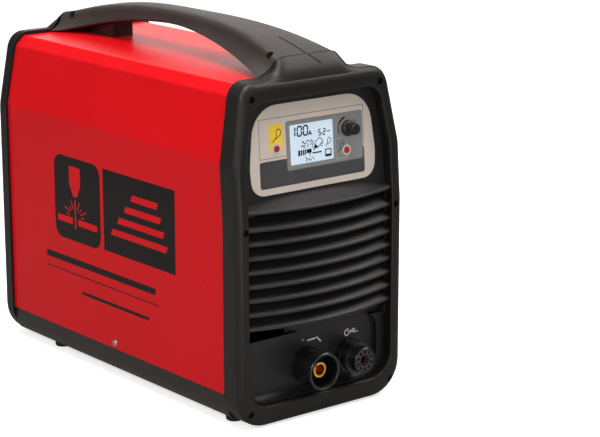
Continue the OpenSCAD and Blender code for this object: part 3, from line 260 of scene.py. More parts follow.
# %% Dress the solids
FINISHES = {
    frame_abs: ["front_frame", "rear_frame"],
    grille_abs: ["front_grille"],
    grip_nylon: ["handle"],
    socket_black: ["earth_socket_body", "torch_socket_body", "main_switch_knob", "main_switch_body",
                   "gauge_body", "cable_gland", "gland_nut"],
    knob_black: ["encoder_knob", "regulator_knob", "handle_support", "fan_frame", "fan_rotor",
                 "solenoid_valve", "power_modules", "lcd_module"],
    core_grey: ["torch_socket_core"],
    button_red: ["left_button", "right_button", "gauge_needle"],
    collar_orange: ["regulator_lock_ring"],
    foot_rubber: ["feet"],
    hose_blue: ["air_hose_in", "air_hose_link", "air_hose_out"],
    cover_red: ["cover"],
    tray_coat: ["base_tray"],
    plate_coat: ["rear_plate"],
    black_oxide: ["front_screws", "rear_screws", "handle_screws"],
    zinc: ["cover_screws", "encoder_body", "encoder_shaft", "earth_socket_nut", "torch_socket_nut",
           "deck_plate", "deck_posts"],
    brass: ["earth_socket_insert", "air_inlet"],
    copper: ["torch_socket_tube", "earth_busbar", "torch_busbar"],
    wire_copper: ["transformer_winding", "inductor_winding"],
    aluminium: ["regulator_body", "heat_sink"],
    ferrite: ["transformer_core", "inductor_core"],
    board_green: ["display_board", "power_board", "control_board"],
    sleeve_blue: ["capacitors"],
    film_beige: ["control_panel"],
    display_painted_glow: ["lcd_window"],
    clear_glass: ["gauge_lens"],
}
CRISP = 36                  # edges that turn by more than this many degrees stay crisp
CRISP_ELSEWHERE = {"front_frame": 50, "rear_frame": 50, "handle": 50, "cover": 24}
WELD_M = 0.00001            # corners of the triangles that are this close, in metres, are one


def dress(name, material):
    """Gives a solid its material, and smooth shading between its crisp edges."""
    solid = nodes[name]
    solid.data.materials.clear()
    solid.data.materials.append(material)
    count = len(solid.data.polygons)
    solid.data.polygons.foreach_set("use_smooth", np.ones(count, bool))
    solid.data.polygons.foreach_set("material_index", np.zeros(count, np.int32))
    weld = solid.modifiers.new("weld", "WELD")
    weld.merge_threshold = WELD_M
    split = solid.modifiers.new("crisp edges", "EDGE_SPLIT")
    split.split_angle = math.radians(CRISP_ELSEWHERE.get(name, CRISP))
    normals = solid.modifiers.new("even normals", "WEIGHTED_NORMAL")
    normals.mode, normals.keep_sharp = "FACE_AREA", True


for material, names in FINISHES.items():
    for name in names:
        dress(name, material)
left_plain = sorted(set(nodes) - {n for names in FINISHES.values() for n in names})
print("solids left plain:", left_plain)

# %% [markdown]
# ## Thin pieces
# A printed field or an engraved mark is a thin plate of its outline, laid on a surface. Each
# surface is a function from two lengths and a height to a point: across, up and outwards.

# %% Surfaces that carry print
LEAN = math.radians(4.1)    # the front leans back by this above the height LEAN_Z
PLATE_Y, LEAN_Z = 13.1, 233.0
FILM_T = 1.2                # from the panel's plate to the film's face
COVER_HALF = 116.7          # from the middle of the case to the cover's side
POCKET_Y = 19.5             # depth of the socket pocket's floor


def on_panel(u, v, h):
    """Control panel: u across, v the height, h out of the film's face, in mm."""
    y = PLATE_Y + (v - LEAN_Z) * math.tan(LEAN) - (FILM_T + h) * math.cos(LEAN)
    return np.stack([u, y, v + (FILM_T + h) * math.sin(LEAN) + 0 * u], -1)


def on_cover_left(u, v, h):
    """Left side of the cover: u is minus the depth behind the lip, v the height, h outwards."""
    return np.stack([-COVER_HALF - h + 0 * u, -u, v + 0 * u], -1)


def on_pocket(u, v, h):
    """Floor of the socket pocket: u across, v the height, h towards the front."""
    return np.stack([u, POCKET_Y - h + 0 * u, v + 0 * u], -1)


# %% Meshes from outlines and paths
def make_piece(name, verts, faces, material, slot, body="unit", smooth=False):
    """A mesh object from points in case millimetres, which rides on a body."""
    mesh = bpy.data.meshes.new(name)
    mesh.from_pydata(metres(verts).tolist(), [], faces)
    mesh.materials.append(material)
    mesh.polygons.foreach_set("use_smooth", np.full(len(mesh.polygons), smooth))
    mesh.update()
    piece = bpy.data.objects.new(name, mesh)
    bpy.context.scene.collection.objects.link(piece)
    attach(piece, body)
    return piece


def plate(outline, surface, low, high):
    """Verts and faces of a closed plate: an outline at two heights above a surface.

    The outline runs anticlockwise as seen from outside, so the faces point outwards.
    """
    u, v = np.asarray(outline, float).T
    n = len(u)
    verts = np.concatenate([surface(u, v, low), surface(u, v, high)])
    i = np.arange(n)
    j = (i + 1) % n
    sides = np.stack([i, j, j + n, i + n], -1)
    return verts, [list(map(int, i[::-1])), list(map(int, i + n)), *sides.tolist()]


def line(path, width, surface, low, high, closed=False):
    """Verts and faces of a line of square section along a path, mitred at its corners.

    At each point the line's edge lies half a width along the mean of the two neighbouring
    normals, lengthened by one over their cosine, so the width stays even round a corner.
    """
    p = np.asarray(path, float)
    step = np.roll(p, -1, 0) - p
    if not closed:
        step[-1] = step[-2]
    step /= np.linalg.norm(step, axis=1, keepdims=True)
    before = np.roll(step, 1, 0)
    if not closed:
        before[0] = step[0]
    normal = np.stack([-step[:, 1], step[:, 0]], -1)
    normal_before = np.stack([-before[:, 1], before[:, 0]], -1)
    mean = normal + normal_before
    mean /= np.linalg.norm(mean, axis=1, keepdims=True)
    reach = 1 / np.clip((mean * normal).sum(1), 0.5, 1)
    edge = mean * (reach * width / 2)[:, None]
    left, right = p + edge, p - edge
    rings = np.stack([surface(*right.T, low), surface(*right.T, high), surface(*left.T, high),
                      surface(*left.T, low)], 1)
    n = len(p)
    i = np.arange(n if closed else n - 1)[:, None]
    k = np.arange(4)[None]
    a, b = 4 * i + k, 4 * i + (k + 1) % 4
    c, d = 4 * ((i + 1) % n) + (k + 1) % 4, 4 * ((i + 1) % n) + k
    faces = np.stack([a, b, c, d], -1).reshape(-1, 4)[:, ::-1].tolist()
    if not closed:
        faces += [[0, 1, 2, 3], [4 * n - 1, 4 * n - 2, 4 * n - 3, 4 * n - 4]]
    return rings.reshape(-1, 3), faces


def together(parts):
    """Several (verts, faces) pairs as one."""
    starts = np.cumsum([0] + [len(v) for v, _ in parts])
    faces = [[i + int(s) for i in f] for s, (_, fs) in zip(starts, parts) for f in fs]
    return np.concatenate([v for v, _ in parts]), faces


def rounded(left, low, right, high, radii, steps=6):
    """Outline of a rectangle: each corner is an arc about a centre one radius in from both sides.

    The radii are those of the lower right, upper right, upper left and lower left corner.
    """
    corners = [(right, low, -90), (right, high, 0), (left, high, 90), (left, low, 180)]
    signs = [(-1, 1), (-1, -1), (1, -1), (1, 1)]
    out = []
    for (x, z, start), (sx, sz), r in zip(corners, signs, np.broadcast_to(radii, 4)):
        turn = np.radians(np.linspace(start, start + 90, steps + 1)) if r > 0 else np.zeros(1)
        centre = np.array([x + sx * r, z + sz * r])
        out.append(centre + r * np.stack([np.cos(turn), np.sin(turn)], -1))
    return np.concatenate(out)


def arc(x, z, r, start, end, steps=16):
    """Points of an arc about (x, z), angles in degrees anticlockwise from +u."""
    turn = np.radians(np.linspace(start, end, steps + 1))
    return np.stack([x + r * np.cos(turn), z + r * np.sin(turn)], -1)


# %% [markdown]
# ## Two edges of the front frame
# The frame's mouth has a full lip with a small rounding towards the opening, and the rear edge
# of its skirt leans back with the front. Each is a closed ring of one section, carried round the
# outline of the solid, so it fits there on all sides. A boolean cuts the screw holes, because
# they are in the middle of the lip, where no edge of the ring runs.

# %% Outlines of the frame
def turned(corners, steps=8):
    """Closed outline through corners (x, z, radius), each rounded by an arc in equal steps.

    The arc's centre lies on the corner's bisector, at the radius over the sine of half the
    corner's angle. A corner of radius 0 stays sharp.
    """
    out = []
    for i, (x, z, r) in enumerate(corners):
        p = np.array([x, z], float)
        if r == 0:
            out.append(p[None])
            continue
        u, v = (np.array(corners[k % len(corners)][:2]) - p for k in (i - 1, i + 1))
        u, v = u / np.linalg.norm(u), v / np.linalg.norm(v)
        half = math.acos(float(u @ v)) / 2
        centre = p + (u + v) / np.linalg.norm(u + v) * r / math.sin(half)
        a, b = (math.atan2(*(p + w * r / math.tan(half) - centre)[::-1]) for w in (u, v))
        sweep = (b - a + math.pi) % (2 * math.pi) - math.pi
        turn = a + sweep * np.linspace(0, 1, steps + 1)
        out.append(centre + r * np.stack([np.cos(turn), np.sin(turn)], -1))
    return np.concatenate(out)


def both_sides(half):
    """Corners of the right half, then their mirror images."""
    return half + [(-x, z, r) for x, z, r in reversed(half)]


OUTER = turned(both_sides([(120, -2.5, 40), (120, LEAN_Z, 0), (120, 298, 60), (102.5, 388, 22)]))
OPENING = turned(both_sides([(104, 21, 28), (104, LEAN_Z, 0), (104, 298, 60), (90.78, 366, 22)]))
print("points round the frame's outer edge and its opening:", len(OUTER), "and", len(OPENING))


def frame_ring(section, lean_from=-np.inf):
    """Closed ring of a section of (fraction from outer edge to opening, depth) round the frame.

    Each point lies that fraction of the way between the two outlines. Depths greater than
    lean_from are moved back by the front's lean, the height over the bend times its tangent.
    """
    f, depth = np.asarray(section, float).T
    xz = OUTER[:, None] + (OPENING - OUTER)[:, None] * f[None, :, None]
    lean = np.maximum(xz[..., 1] - LEAN_Z, 0) * math.tan(LEAN) * (depth > lean_from)
    verts = np.stack([xz[..., 0], depth + lean, xz[..., 1]], -1)
    n, m = len(OUTER), len(f)
    i, j = np.meshgrid(np.arange(n), np.arange(m), indexing="ij")
    a, b = i * m + j, i * m + (j + 1) % m
    c, d = (i + 1) % n * m + (j + 1) % m, (i + 1) % n * m + j
    return verts.reshape(-1, 3), np.stack([a, b, c, d], -1).reshape(-1, 4).tolist()


# %% Lip and skirt edge
def face_out(mesh):
    """Turns a closed mesh's faces so that they all point outwards."""
    work = bmesh.new()
    work.from_mesh(mesh)
    bmesh.ops.recalc_face_normals(work, faces=work.faces)
    work.to_mesh(mesh)
    work.free()


ROD_SIDES = 32
ROD_FRONT, ROD_BACK = -6, 40        # a rod starts before the lip and ends behind it
CRISP_NEW = 40                      # as CRISP, for the pieces made here


def cut_by_rods(piece, rods):
    """Cuts rods (x, z, radius) along y out of a piece, and keeps the result as its mesh."""
    turn = np.linspace(0, 2 * math.pi, ROD_SIDES, endpoint=False)
    circle = np.stack([np.cos(turn), 0 * turn, np.sin(turn)], -1)
    i = np.arange(ROD_SIDES)
    j = (i + 1) % ROD_SIDES
    walls = np.stack([i, j, j + ROD_SIDES, i + ROD_SIDES], -1).tolist()
    ends = [i[::-1].tolist(), (i + ROD_SIDES).tolist()]
    verts, faces = together([
        (np.concatenate([circle * r + (x, ROD_FRONT, z), circle * r + (x, ROD_BACK, z)]),
         walls + ends) for x, z, r in rods])
    mesh = bpy.data.meshes.new("rods")
    mesh.from_pydata(metres(verts).tolist(), [], faces)
    face_out(mesh)
    face_out(piece.data)
    cutter = bpy.data.objects.new("rods", mesh)
    bpy.context.scene.collection.objects.link(cutter)
    cut = piece.modifiers.new("screw holes", "BOOLEAN")
    cut.object, cut.operation, cut.solver = cutter, "DIFFERENCE", "EXACT"
    bpy.context.view_layer.update()
    shown = piece.evaluated_get(bpy.context.evaluated_depsgraph_get())
    done = bpy.data.meshes.new_from_object(shown)
    piece.modifiers.remove(cut)
    bpy.data.objects.remove(cutter)
    piece.data = done
    done.polygons.foreach_set("use_smooth", np.ones(len(done.polygons), bool))
    crisp = piece.modifiers.new("crisp edges", "EDGE_SPLIT")
    crisp.split_angle = math.radians(CRISP_NEW)


HOLE_R = 3.9
HOLES = [(side * x, z, HOLE_R) for side in (-1, 1)
         for x, z in ((103.3, 16), (109.3, 226.4), (92.2, 370.8))]
LIP_SECTION = [
    (0.34, 0.6), (0.39, 0.12), (0.45, -0.02), (0.55, -0.08), (0.84, -0.08), (0.91, 0.05),
    (0.96, 0.5), (0.99, 1.3), (1.003, 2.4), (1.003, 12.6), (0.9, 12.6), (0.9, 4.0), (0.5, 2.0)]
lip = make_piece("front_lip", *frame_ring(LIP_SECTION), frame_abs, "frame_plastic", smooth=True)
cut_by_rods(lip, HOLES)
SKIRT_FRONT, SKIRT_REAR = 27.4, 27.9        # the section's front is upright and its rear leans
skirt_section = [(0.004, SKIRT_FRONT), (0.004, SKIRT_REAR), (0.19, SKIRT_REAR), (0.19, SKIRT_FRONT)]
verts, faces = frame_ring(skirt_section, lean_from=(SKIRT_FRONT + SKIRT_REAR) / 2)
skirt = make_piece("front_skirt_edge", verts, faces, frame_abs, "frame_plastic")
face_out(skirt.data)
print("lip and skirt edge:", len(lip.data.polygons), "faces and", len(faces))

# %% [markdown]
# ## The crease on top of the arch
# The arch has a shallow crease along its front end that runs on down the slope of the frame's
# horn. It is a thin line of painted shade here, laid on the solid's own surface by rays from above.

# %% Crease
RAY_START = 600                         # height above the case, from which the rays go down
CREASE_LOW, CREASE_HIGH = -0.2, 0.08    # the line's underside and top, from the surface


def laid_on(solid, path, width):
    """A line along a path of (x, y), laid on a solid's top, as points and faces.

    Its height at each point of the path is where a ray from above meets the solid, and between
    two points it goes straight. Where a ray misses, the neighbours give the height.
    """
    path = np.asarray(path, float)
    heights = []
    for x, y in path:
        start = Vector(metres([x, y, RAY_START]))
        hit, spot, _, _ = solid.ray_cast(start, Vector((0, 0, -1)))
        heights.append(spot.z / MM - DATUM_Z / MM if hit else np.nan)
    met = ~np.isnan(heights)
    heights = np.interp(np.arange(len(path)), np.flatnonzero(met), np.array(heights)[met])
    along = np.concatenate([[0], np.cumsum(np.linalg.norm(np.diff(path, axis=0), axis=1))])

    def on_top(u, v, h):
        """u along the path and v across it become the path's point, its side and its height."""
        x, y = (np.interp(u, along, path[:, k]) for k in (0, 1))
        return np.stack([x + v, y, np.interp(u, along, heights) + h], -1)

    return line(np.stack([along, 0 * along], -1), width, on_top, CREASE_LOW, CREASE_HIGH)


arch_path = np.stack([np.zeros(21), np.linspace(80, 31, 21)], -1)
# Painted shade: the crease is a thin nearly black line on the arch's top.
make_piece("arch_crease_painted_shade", *laid_on(nodes["handle"], arch_path, 1.8), painted_shade_dark, "frame_plastic")
print("crease along the middle of the arch:", len(arch_path), "points")

# %% [markdown]
# ## The horn's skin
# Where the arch meets the front frame, the frame rises in a horn with soft shoulders. Its skin
# is lofted from the arch's own section down to the frame's rounded front edge, and its rear
# edge slants back towards the foot, where a seam of painted shade parts it from the arch.

# %% Section at the arch
SECTION_STEPS = 44
SOFTENINGS = 6
REAR = np.array([
    (62.2, 387.2), (60.0, 389.2), (56.2, 391.2), (51.3, 394.2), (47.2, 398.0), (45.4, 402.0),
    (43.8, 405.6), (41.6, 408.0), (38.0, 409.2), (32.0, 409.6), (16.0, 409.7), (0.0, 409.7)])
reach = np.concatenate([[0], np.cumsum(np.linalg.norm(np.diff(REAR, axis=0), axis=1))])
steps = np.linspace(0, reach[-1], SECTION_STEPS)
half_section = np.stack([np.interp(steps, reach, REAR[:, k]) for k in (0, 1)], -1)
for _ in range(SOFTENINGS):     # soften the polygon's corners, keeping its two ends
    half_section[1:-1] = (half_section[:-2] + 2 * half_section[1:-1] + half_section[2:]) / 4
section = np.concatenate([half_section, (half_section * (-1, 1))[-2::-1]])
across = np.concatenate([1 - steps / reach[-1], -(1 - steps / reach[-1])[-2::-1]])
to_side = np.tanh(5 * across)[:, None]      # 1 on one side, -1 on the other, soft in the middle
print("points across the horn:", len(section))

# %% Slope down to the frame's front edge
HORN_FRONT, HORN_REAR, SLANT = 13.0, 28.3, 9.0      # depths, and how far the rear edge slants
HORN_TOP, HORN_FOOT = 409.0, 387.5                  # heights between which it slants
FRAME_TOP, ROUNDING_Y = 388.0, 11.1                 # top of the frame, and where it rounds off
ROUNDING_DEEP, ROUNDING_HIGH = 8, 11
FRONT_HALF = 72                                     # half the skin's width at the front edge
ROWS, SUNK, THICK = 26, 0.1, 1.2        # SUNK under the frame's edge, and closed THICK below it
CROWN, BULGE = 0.3, 1.4                 # how far the slope bows up, as a share, and out, in mm
HELD, HELD_TO = 0.45, 0.08              # how much, and over what share of t, it is held down


def frame_top(y):
    """Height of the frame's rounded front edge at a depth: a quarter of an ellipse."""
    out = np.clip(1 - (y - ROUNDING_Y) / ROUNDING_DEEP, 0, 1)
    return FRAME_TOP - ROUNDING_HIGH * (1 - np.sqrt(1 - out ** 2))


def horn_rear(z):
    """Depth of the horn's rear edge: it slants back by SLANT from the top to the foot."""
    return HORN_REAR + SLANT * np.clip((HORN_TOP - z) / (HORN_TOP - HORN_FOOT), 0, 1)


def horn_surface():
    """Points of the skin on a grid: rows from the front edge to the arch, columns across.

    With t from 0 at the front to 1 at the arch, the depth goes straight from the front edge to
    horn_rear. Across, a point goes straight from an even span of the front to its place in the
    section, and bulges outwards by half a sine wave. The height goes from just under the frame's
    edge to the section by a share that is t with a crown on it, held down near the front by one
    minus an exponential.
    """
    t = np.linspace(0, 1, ROWS)[:, None]
    y = HORN_FRONT + (horn_rear(section[:, 1]) - HORN_FRONT)[None] * t
    x = section[:, 0] + (1 - t) * (FRONT_HALF * across - section[:, 0])
    x = x + BULGE * np.sin(math.pi * t) * to_side[:, 0]
    rise = (t + CROWN * t * (1 - t)) * (1 - HELD * np.exp(-t / HELD_TO))
    low = frame_top(y) - SUNK
    return np.stack([x, y, low + (section[:, 1] - low) * rise], -1)


skin = horn_surface()
under = skin[:, [-1, 0]] - (0, 0, THICK)    # two points inside the frame close each row below
rows = np.concatenate([skin, under], 1)
n, m = rows.shape[:2]
i, j = np.meshgrid(np.arange(n - 1), np.arange(m), indexing="ij")
faces = np.stack([i * m + j, i * m + (j + 1) % m, (i + 1) * m + (j + 1) % m, (i + 1) * m + j], -1)
faces = faces.reshape(-1, 4).tolist() + [list(range(m)), list(range((n - 1) * m, n * m))]
horn = make_piece("horn_skin", rows.reshape(-1, 3), faces, frame_abs, "frame_plastic", smooth=True)
face_out(horn.data)
horn_crisp = horn.modifiers.new("crisp edges", "EDGE_SPLIT")
horn_crisp.split_angle = math.radians(CRISP_NEW)
print("the horn's skin:", len(horn.data.polygons), "faces")

# %% Seam behind the horn
# The seam is painted shade: a thin nearly black strip for the shade in the gap between horn and
# arch.
SEAM_FRONT, SEAM_REAR = -0.4, 1.7       # from the skin's rear edge
INSET, SEAM_DEEP, NARROWER = 0.3, 1.0, 0.97
outer = section - INSET * to_side * (1, 0) - (0, SUNK)
inner = outer * (NARROWER, 1) - (0, SEAM_DEEP)
edge = horn_rear(section[:, 1])
seam_rows = np.stack([np.stack([part[:, 0], edge + back, part[:, 1]], -1) for part, back in (
    (outer, SEAM_FRONT), (outer, SEAM_REAR), (inner, SEAM_REAR), (inner, SEAM_FRONT))])
n, m = seam_rows.shape[:2]
i, j = np.meshgrid(np.arange(n), np.arange(m - 1), indexing="ij")
faces = np.stack([i * m + j, i * m + j + 1, (i + 1) % n * m + j + 1, (i + 1) % n * m + j], -1)
ends = [[k * m for k in range(n)], [k * m + m - 1 for k in range(n)]]
seam = make_piece("horn_seam_painted_shade", seam_rows.reshape(-1, 3), faces.reshape(-1, 4).tolist() + ends,
                  painted_shade_dark, "frame_plastic")
face_out(seam.data)
print("seam behind the horn:", len(seam.data.polygons), "faces")

# %% Crease on the horn
bpy.context.view_layer.update()
horn_path = np.array([(0.4, 27.4), (1.6, 26.4), (3.2, 25.2), (5.2, 24.0), (7.8, 22.4),
                      (10.4, 20.8), (12.8, 19.4)])
# Painted shade: the crease on the horn is a thin nearly black line laid on its skin.
make_piece("horn_crease_painted_shade", *laid_on(horn, horn_path, 2.0), painted_shade_dark, "frame_plastic")
print("crease on the horn:", len(horn_path), "points")

# %% [markdown]
# ## The panel's print
# The film is printed in fields: a mid grey block round the display and the knob, a dark band
# below, a thin frame line, and a yellow strip for the left button. The words and marks of the
# real band are left out, and the band stays plain.

# %% Fields and lines on the panel
# A field starts just under the film's face. Where two overlap, each ends at a height of its own,
# so that neither flickers through the other.
UNDER, FIELD_TOP = -0.02, 0.06
LINE_W = 0.7
band = np.concatenate([
    arc(-73.8, 270.5, 3.2, 180, 270, 7), arc(71, 270.5, 3.2, 270, 360, 7),
    [(74.2, 295.8), (73.4, 296.8), (71.4, 296.8), (71.4, 285), (-38.5, 285), (-38.5, 297.5)],
    arc(-73.8, 294.3, 3.2, 90, 180, 7)])
make_piece("print_band", *plate(band, on_panel, UNDER, FIELD_TOP), film_dark, "panel_foil")
block = rounded(-38, 283.6, 72, 338, 2.4)
make_piece("print_block", *plate(block, on_panel, UNDER, FIELD_TOP + 0.03), film_grey, "panel_foil")
frame_left = np.array([(-39, 344.5), (-76, 344.5), (-76, 300.6), (-39, 300.6)])
frame_right = np.array([(-39, 344.5), (74.4, 344.5), (74.4, 300.8)])
round_block = rounded(-38.2, 283.4, 72.2, 338.2, 2.6, 4)
make_piece("print_frame_line", *together([
    line(frame_left, LINE_W, on_panel, UNDER, FIELD_TOP),
    line(frame_right, LINE_W, on_panel, UNDER, FIELD_TOP),
    line(round_block, LINE_W, on_panel, UNDER, FIELD_TOP + 0.04, closed=True)]),
    film_line, "panel_foil")
strip = rounded(-62.4, 308.6, -43.0, 337.6, [0.6, 1.8, 1.8, 0.6])
make_piece("print_yellow", *plate(strip, on_panel, UNDER, FIELD_TOP + 0.02), film_yellow,
           "panel_foil")
print("the panel's band is", round(float(np.ptp(band[:, 0])), 1), "mm wide")

# %% Rings, icons and the knob's scale
LEFT_BUTTON, RIGHT_BUTTON, KNOB = (-52.3, 310.2), (48.2, 295.5), (49.4, 320.3)
RING_TOP, BOX_TOP, ICON_TOP = 0.22, 0.12, 0.14
RING_STEPS = 40


def ring(x, z, inner, outer):
    """A flat ring about a button, as a closed line along the circle between its two radii."""
    circle = arc(x, z, (inner + outer) / 2, 0, 360 - 360 / RING_STEPS, RING_STEPS - 1)
    return line(circle, outer - inner, on_panel, FIELD_TOP, RING_TOP, closed=True)


make_piece("print_button_rings", *together([
    ring(*LEFT_BUTTON, 4.0, 6.6), ring(*RIGHT_BUTTON, 4.0, 6.2)]), film_pale, "panel_foil")
icon_box = rounded(32.3, 287.2, 48.2, 310.2, 1.2, 3)
make_piece("print_icon_box", *line(icon_box, 0.45, on_panel, FIELD_TOP, BOX_TOP, closed=True),
           film_pale, "panel_foil")


def torch_icon(x, z, size, width):
    """Generic cutting torch in single lines: a grip, its neck and a nozzle at (x, z)."""
    grip = np.array([(0.14, 0.22), (0.30, 0.36), (0.32, 0.82), (0.52, 1.0), (0.76, 0.86),
                     (0.72, 0.54), (0.26, 0.24)])
    nozzle = np.array([(0.0, 0.0), (0.04, 0.16), (0.2, 0.28)])
    return together([line(np.array([x, z]) + size * part, width, on_panel, FIELD_TOP, ICON_TOP)
                     for part in (grip, nozzle)])


make_piece("print_torch_left", *torch_icon(-56.6, 317.5, 14.5, 0.9), segment_black, "panel_foil")
make_piece("print_torch_right", *torch_icon(36, 294, 11, 0.6), segment_black, "panel_foil")
sweep, thick_end = arc(*KNOB, 12.6, 100, 205, 24), arc(*KNOB, 12.6, 100, 150, 14)
arrow = np.array([(62, 328.6), (60.4, 325.2), (62.6, 325.8), (61, 322.4)])
make_piece("print_knob_scale", *together([
    line(sweep, 1.2, on_panel, FIELD_TOP, ICON_TOP),
    line(thick_end, 2.0, on_panel, FIELD_TOP, ICON_TOP - 0.01),
    line(arrow, 0.6, on_panel, FIELD_TOP, ICON_TOP)]), segment_black, "panel_foil")
print("icons and scale stand", ICON_TOP, "mm out of the film")

# %% [markdown]
# ## The display
# A segment display builds each digit from seven bars. Here it shows a current and an air
# pressure, with a small picture of an arc over a row of blocks below them.

# %% Digits
SEGMENTS = {  # which of the bars a to g are dark, clockwise from the top, g in the middle
    "0": "abcdef", "1": "bc", "2": "abged", "4": "fgbc", "5": "afgcd", "6": "afgedc",
    "8": "abcdefg"}
LOW, HIGH = 0.12, 0.22      # from the film to the face of the display's pane, and to the bars' top
BAR_SHORTER, DIGIT_LEAN = 0.25, 0.05


def digit(char, x, z, w, h, width, surface=on_panel, low=LOW, high=HIGH):
    """Bars of one digit, w by h, whose lower left corner is (x, z).

    Each bar is shorter at both ends by BAR_SHORTER of its width, and every point moves to the
    right by DIGIT_LEAN of its height.
    """
    ends = {"a": ((0, h), (w, h)), "b": ((w, h), (w, h / 2)), "c": ((w, h / 2), (w, 0)),
            "d": ((0, 0), (w, 0)), "e": ((0, h / 2), (0, 0)), "f": ((0, h), (0, h / 2)),
            "g": ((0, h / 2), (w, h / 2))}
    parts = []
    for bar in SEGMENTS[char]:
        p, q = np.array(ends[bar], float)
        inward = (q - p) / np.linalg.norm(q - p) * BAR_SHORTER * width
        path = np.array([p + inward, q - inward])
        path[:, 0] += DIGIT_LEAN * path[:, 1]
        parts.append(line(path + (x, z), width, surface, low, high))
    return parts


digits = []
for char, x in zip("100", (-31.8, -22.4, -13.7)):
    digits += digit(char, x, 320.2, 5.9, 10.5, 1.8)
digits += digit("5", 7.9, 317.5, 3.2, 6.2, 1.3) + digit("2", 14.5, 317.4, 3.4, 6.4, 1.3)
digits.append(plate(rounded(12.6, 316.9, 13.4, 317.8, 0.1, 2), on_panel, LOW, HIGH))


def drawn(width, *path):
    """A line drawn on the display through points (across, height) in mm."""
    return line(np.array(path), width, on_panel, LOW, HIGH)


def filled(*outline):
    """A dark field on the display, its outline anticlockwise."""
    return plate(np.array(outline), on_panel, LOW, HIGH)


unit_marks = [drawn(1.2, (-6.4, 319.6), (-4.1, 324), (-1.9, 319.4)),
              drawn(1.1, (-5.2, 321), (-3.1, 321)), drawn(1.1, (20.4, 320.3), (24.6, 320.6))]
make_piece("display_digits", *together(digits + unit_marks), segment_black, "panel_foil")
print("bars of the digits:", len(digits))

# %% The display's picture
# A torch held over a plate: the arc's rays and glow, the plate as a row of blocks, and the
# metal blown out below the cut.
THIN, RAY, BOLD = 0.7, 0.85, 1.5
rays = [
    drawn(1.25, (-16.3, 313.8), (-11.3, 310.1)), drawn(1.35, (-17.5, 308.0), (-11.9, 308.5)),
    drawn(RAY, (-14.3, 305.7), (-12.1, 306.4)), drawn(RAY, (-5.1, 307.9), (-2.4, 310.2)),
    drawn(RAY, (-0.9, 311.2), (1.0, 312.6)),
    drawn(THIN, (-8.6, 305.6), (-8.0, 309.3), (-9.7, 311.6), (-8.9, 313.9), (-6.2, 313.3),
          (-5.2, 311.5), (-2.8, 314.2), (-1.6, 311.0), (-0.9, 309.0), (-1.6, 306.3),
          (-1.9, 304.8))]
torch = [
    drawn(RAY, (0.5, 307.7), (4.8, 311.9), (9.5, 315.0), (14.0, 310.7), (10.1, 306.9),
          (5.2, 303.4)),
    filled((0.3, 305.1), (2.7, 302.9), (6.7, 305.2), (2.7, 308.3)),
    filled((-1.4, 301.4), (2.3, 302.8), (0.9, 304.2)),
    drawn(RAY, (10.9, 308.4), (14.3, 307.5)), drawn(RAY, (10.2, 305.7), (13.4, 305.1))]
below = [
    filled((-6.2, 299.8), (-5.1, 294.0), (-4.8, 299.8)), drawn(BOLD, (-1.9, 298.7), (11.4, 298.7)),
    drawn(RAY, (-11.8, 295.1), (-9.2, 292.4), (-11.3, 290.3)),
    drawn(RAY, (-8.0, 293.7), (-5.4, 290.8), (-3.7, 292.9)),
    drawn(THIN, (-2.2, 295.1), (0.7, 291.2))]
signs = [
    drawn(0.75, (18.4, 303.0), (18.6, 305.6), (20.4, 307.0), (20.9, 311.8), (23.1, 313.4),
          (25.6, 311.6), (25.2, 308.8), (20.6, 305.2)),
    line(rounded(17.1, 292.6, 25.3, 300.2, 0.5, 2), 1.2, on_panel, LOW, HIGH, closed=True),
    filled((17.6, 292.9), (24.8, 292.9), (24.8, 294.8), (17.6, 294.8))]
BLOCK_TOP = 303.9
blocks = [filled((x0, low), (x1, low), (x1, BLOCK_TOP), (x0, BLOCK_TOP)) for x0, x1, low in (
    (-22.2, -19.4, 297.7), (-18.4, -16.4, 297.8), (-15.4, -13.4, 297.9), (-12.5, -10.7, 298.2),
    (-9.9, -2.9, 299.5))]
picture = rays + torch + below + signs + blocks
make_piece("display_picture", *together(picture), segment_black, "panel_foil")
print("strokes and fields of the picture:", len(picture))

# %% [markdown]
# ## Marks over the sockets
# Two white marks tell which socket takes the earth clamp and which the torch.

# %% Socket marks
MARK_LOW, MARK_HIGH = -0.05, 0.1
clamp = [(0.7, [(-14.4, 81.4), (-11.6, 81.2)]),
         (1.6, [(-6.3, 79.4), (-0.8, 79.9), (5.6, 79.9)]),
         (1.5, [(7.0, 81.4), (9.4, 78.8), (13.6, 74.8)])]
torch = [(1.2, [(55.2, 81.4), (50.4, 80.0), (49.2, 76.6), (51.8, 73.6), (55.2, 74.8),
                (56.8, 77.2)]),
         (1.2, [(52.6, 82.0), (56.4, 76.8), (59.5, 80.0)]),
         (1.2, [(58.6, 75.8), (62.6, 80.6), (64.6, 79.8), (62.0, 76.4), (69.6, 76.3)])]
make_piece("socket_marks", *together([
    line(np.array(path), width, on_pocket, MARK_LOW, MARK_HIGH) for width, path in clamp + torch]),
    film_white, "panel_foil")
print("lines over the sockets:", len(clamp + torch))

# %% [markdown]
# ## Dial and switch marks on the back
# The gauge has a white dial with eleven long marks over three quarters of a turn, because its
# needle sweeps 270 degrees. The main switch has a 0 and a 1 where its pointer rests.

# %% Dial and switch marks
DIAL, SWITCH = (84.0, 483.9, 290.0), (-52.0, 485.95, 306.0)     # their centres
DIAL_R, MARK_END, LONG_FROM, SHORT_FROM, FIGURES_R = 16.2, 15.2, 11.6, 13.6, 8.9
START, SWEEP, MARKS, LONG_EVERY = 225, 270, 50, 5       # degrees, and how many marks
SCALE_LOW, SCALE_HIGH = 0.05, 0.2


def on_back(centre):
    """A surface that faces the back: u to the right as seen from behind, v up, from a centre."""
    def surface(u, v, h):
        return np.stack([centre[0] - u, centre[1] + h + 0 * u, centre[2] + v + 0 * u], -1)
    return surface


def on_circle(k, r):
    """Point of the dial at the mark number k and the radius r."""
    a = math.radians(START - SWEEP * k / MARKS)
    return r * math.cos(a), r * math.sin(a)


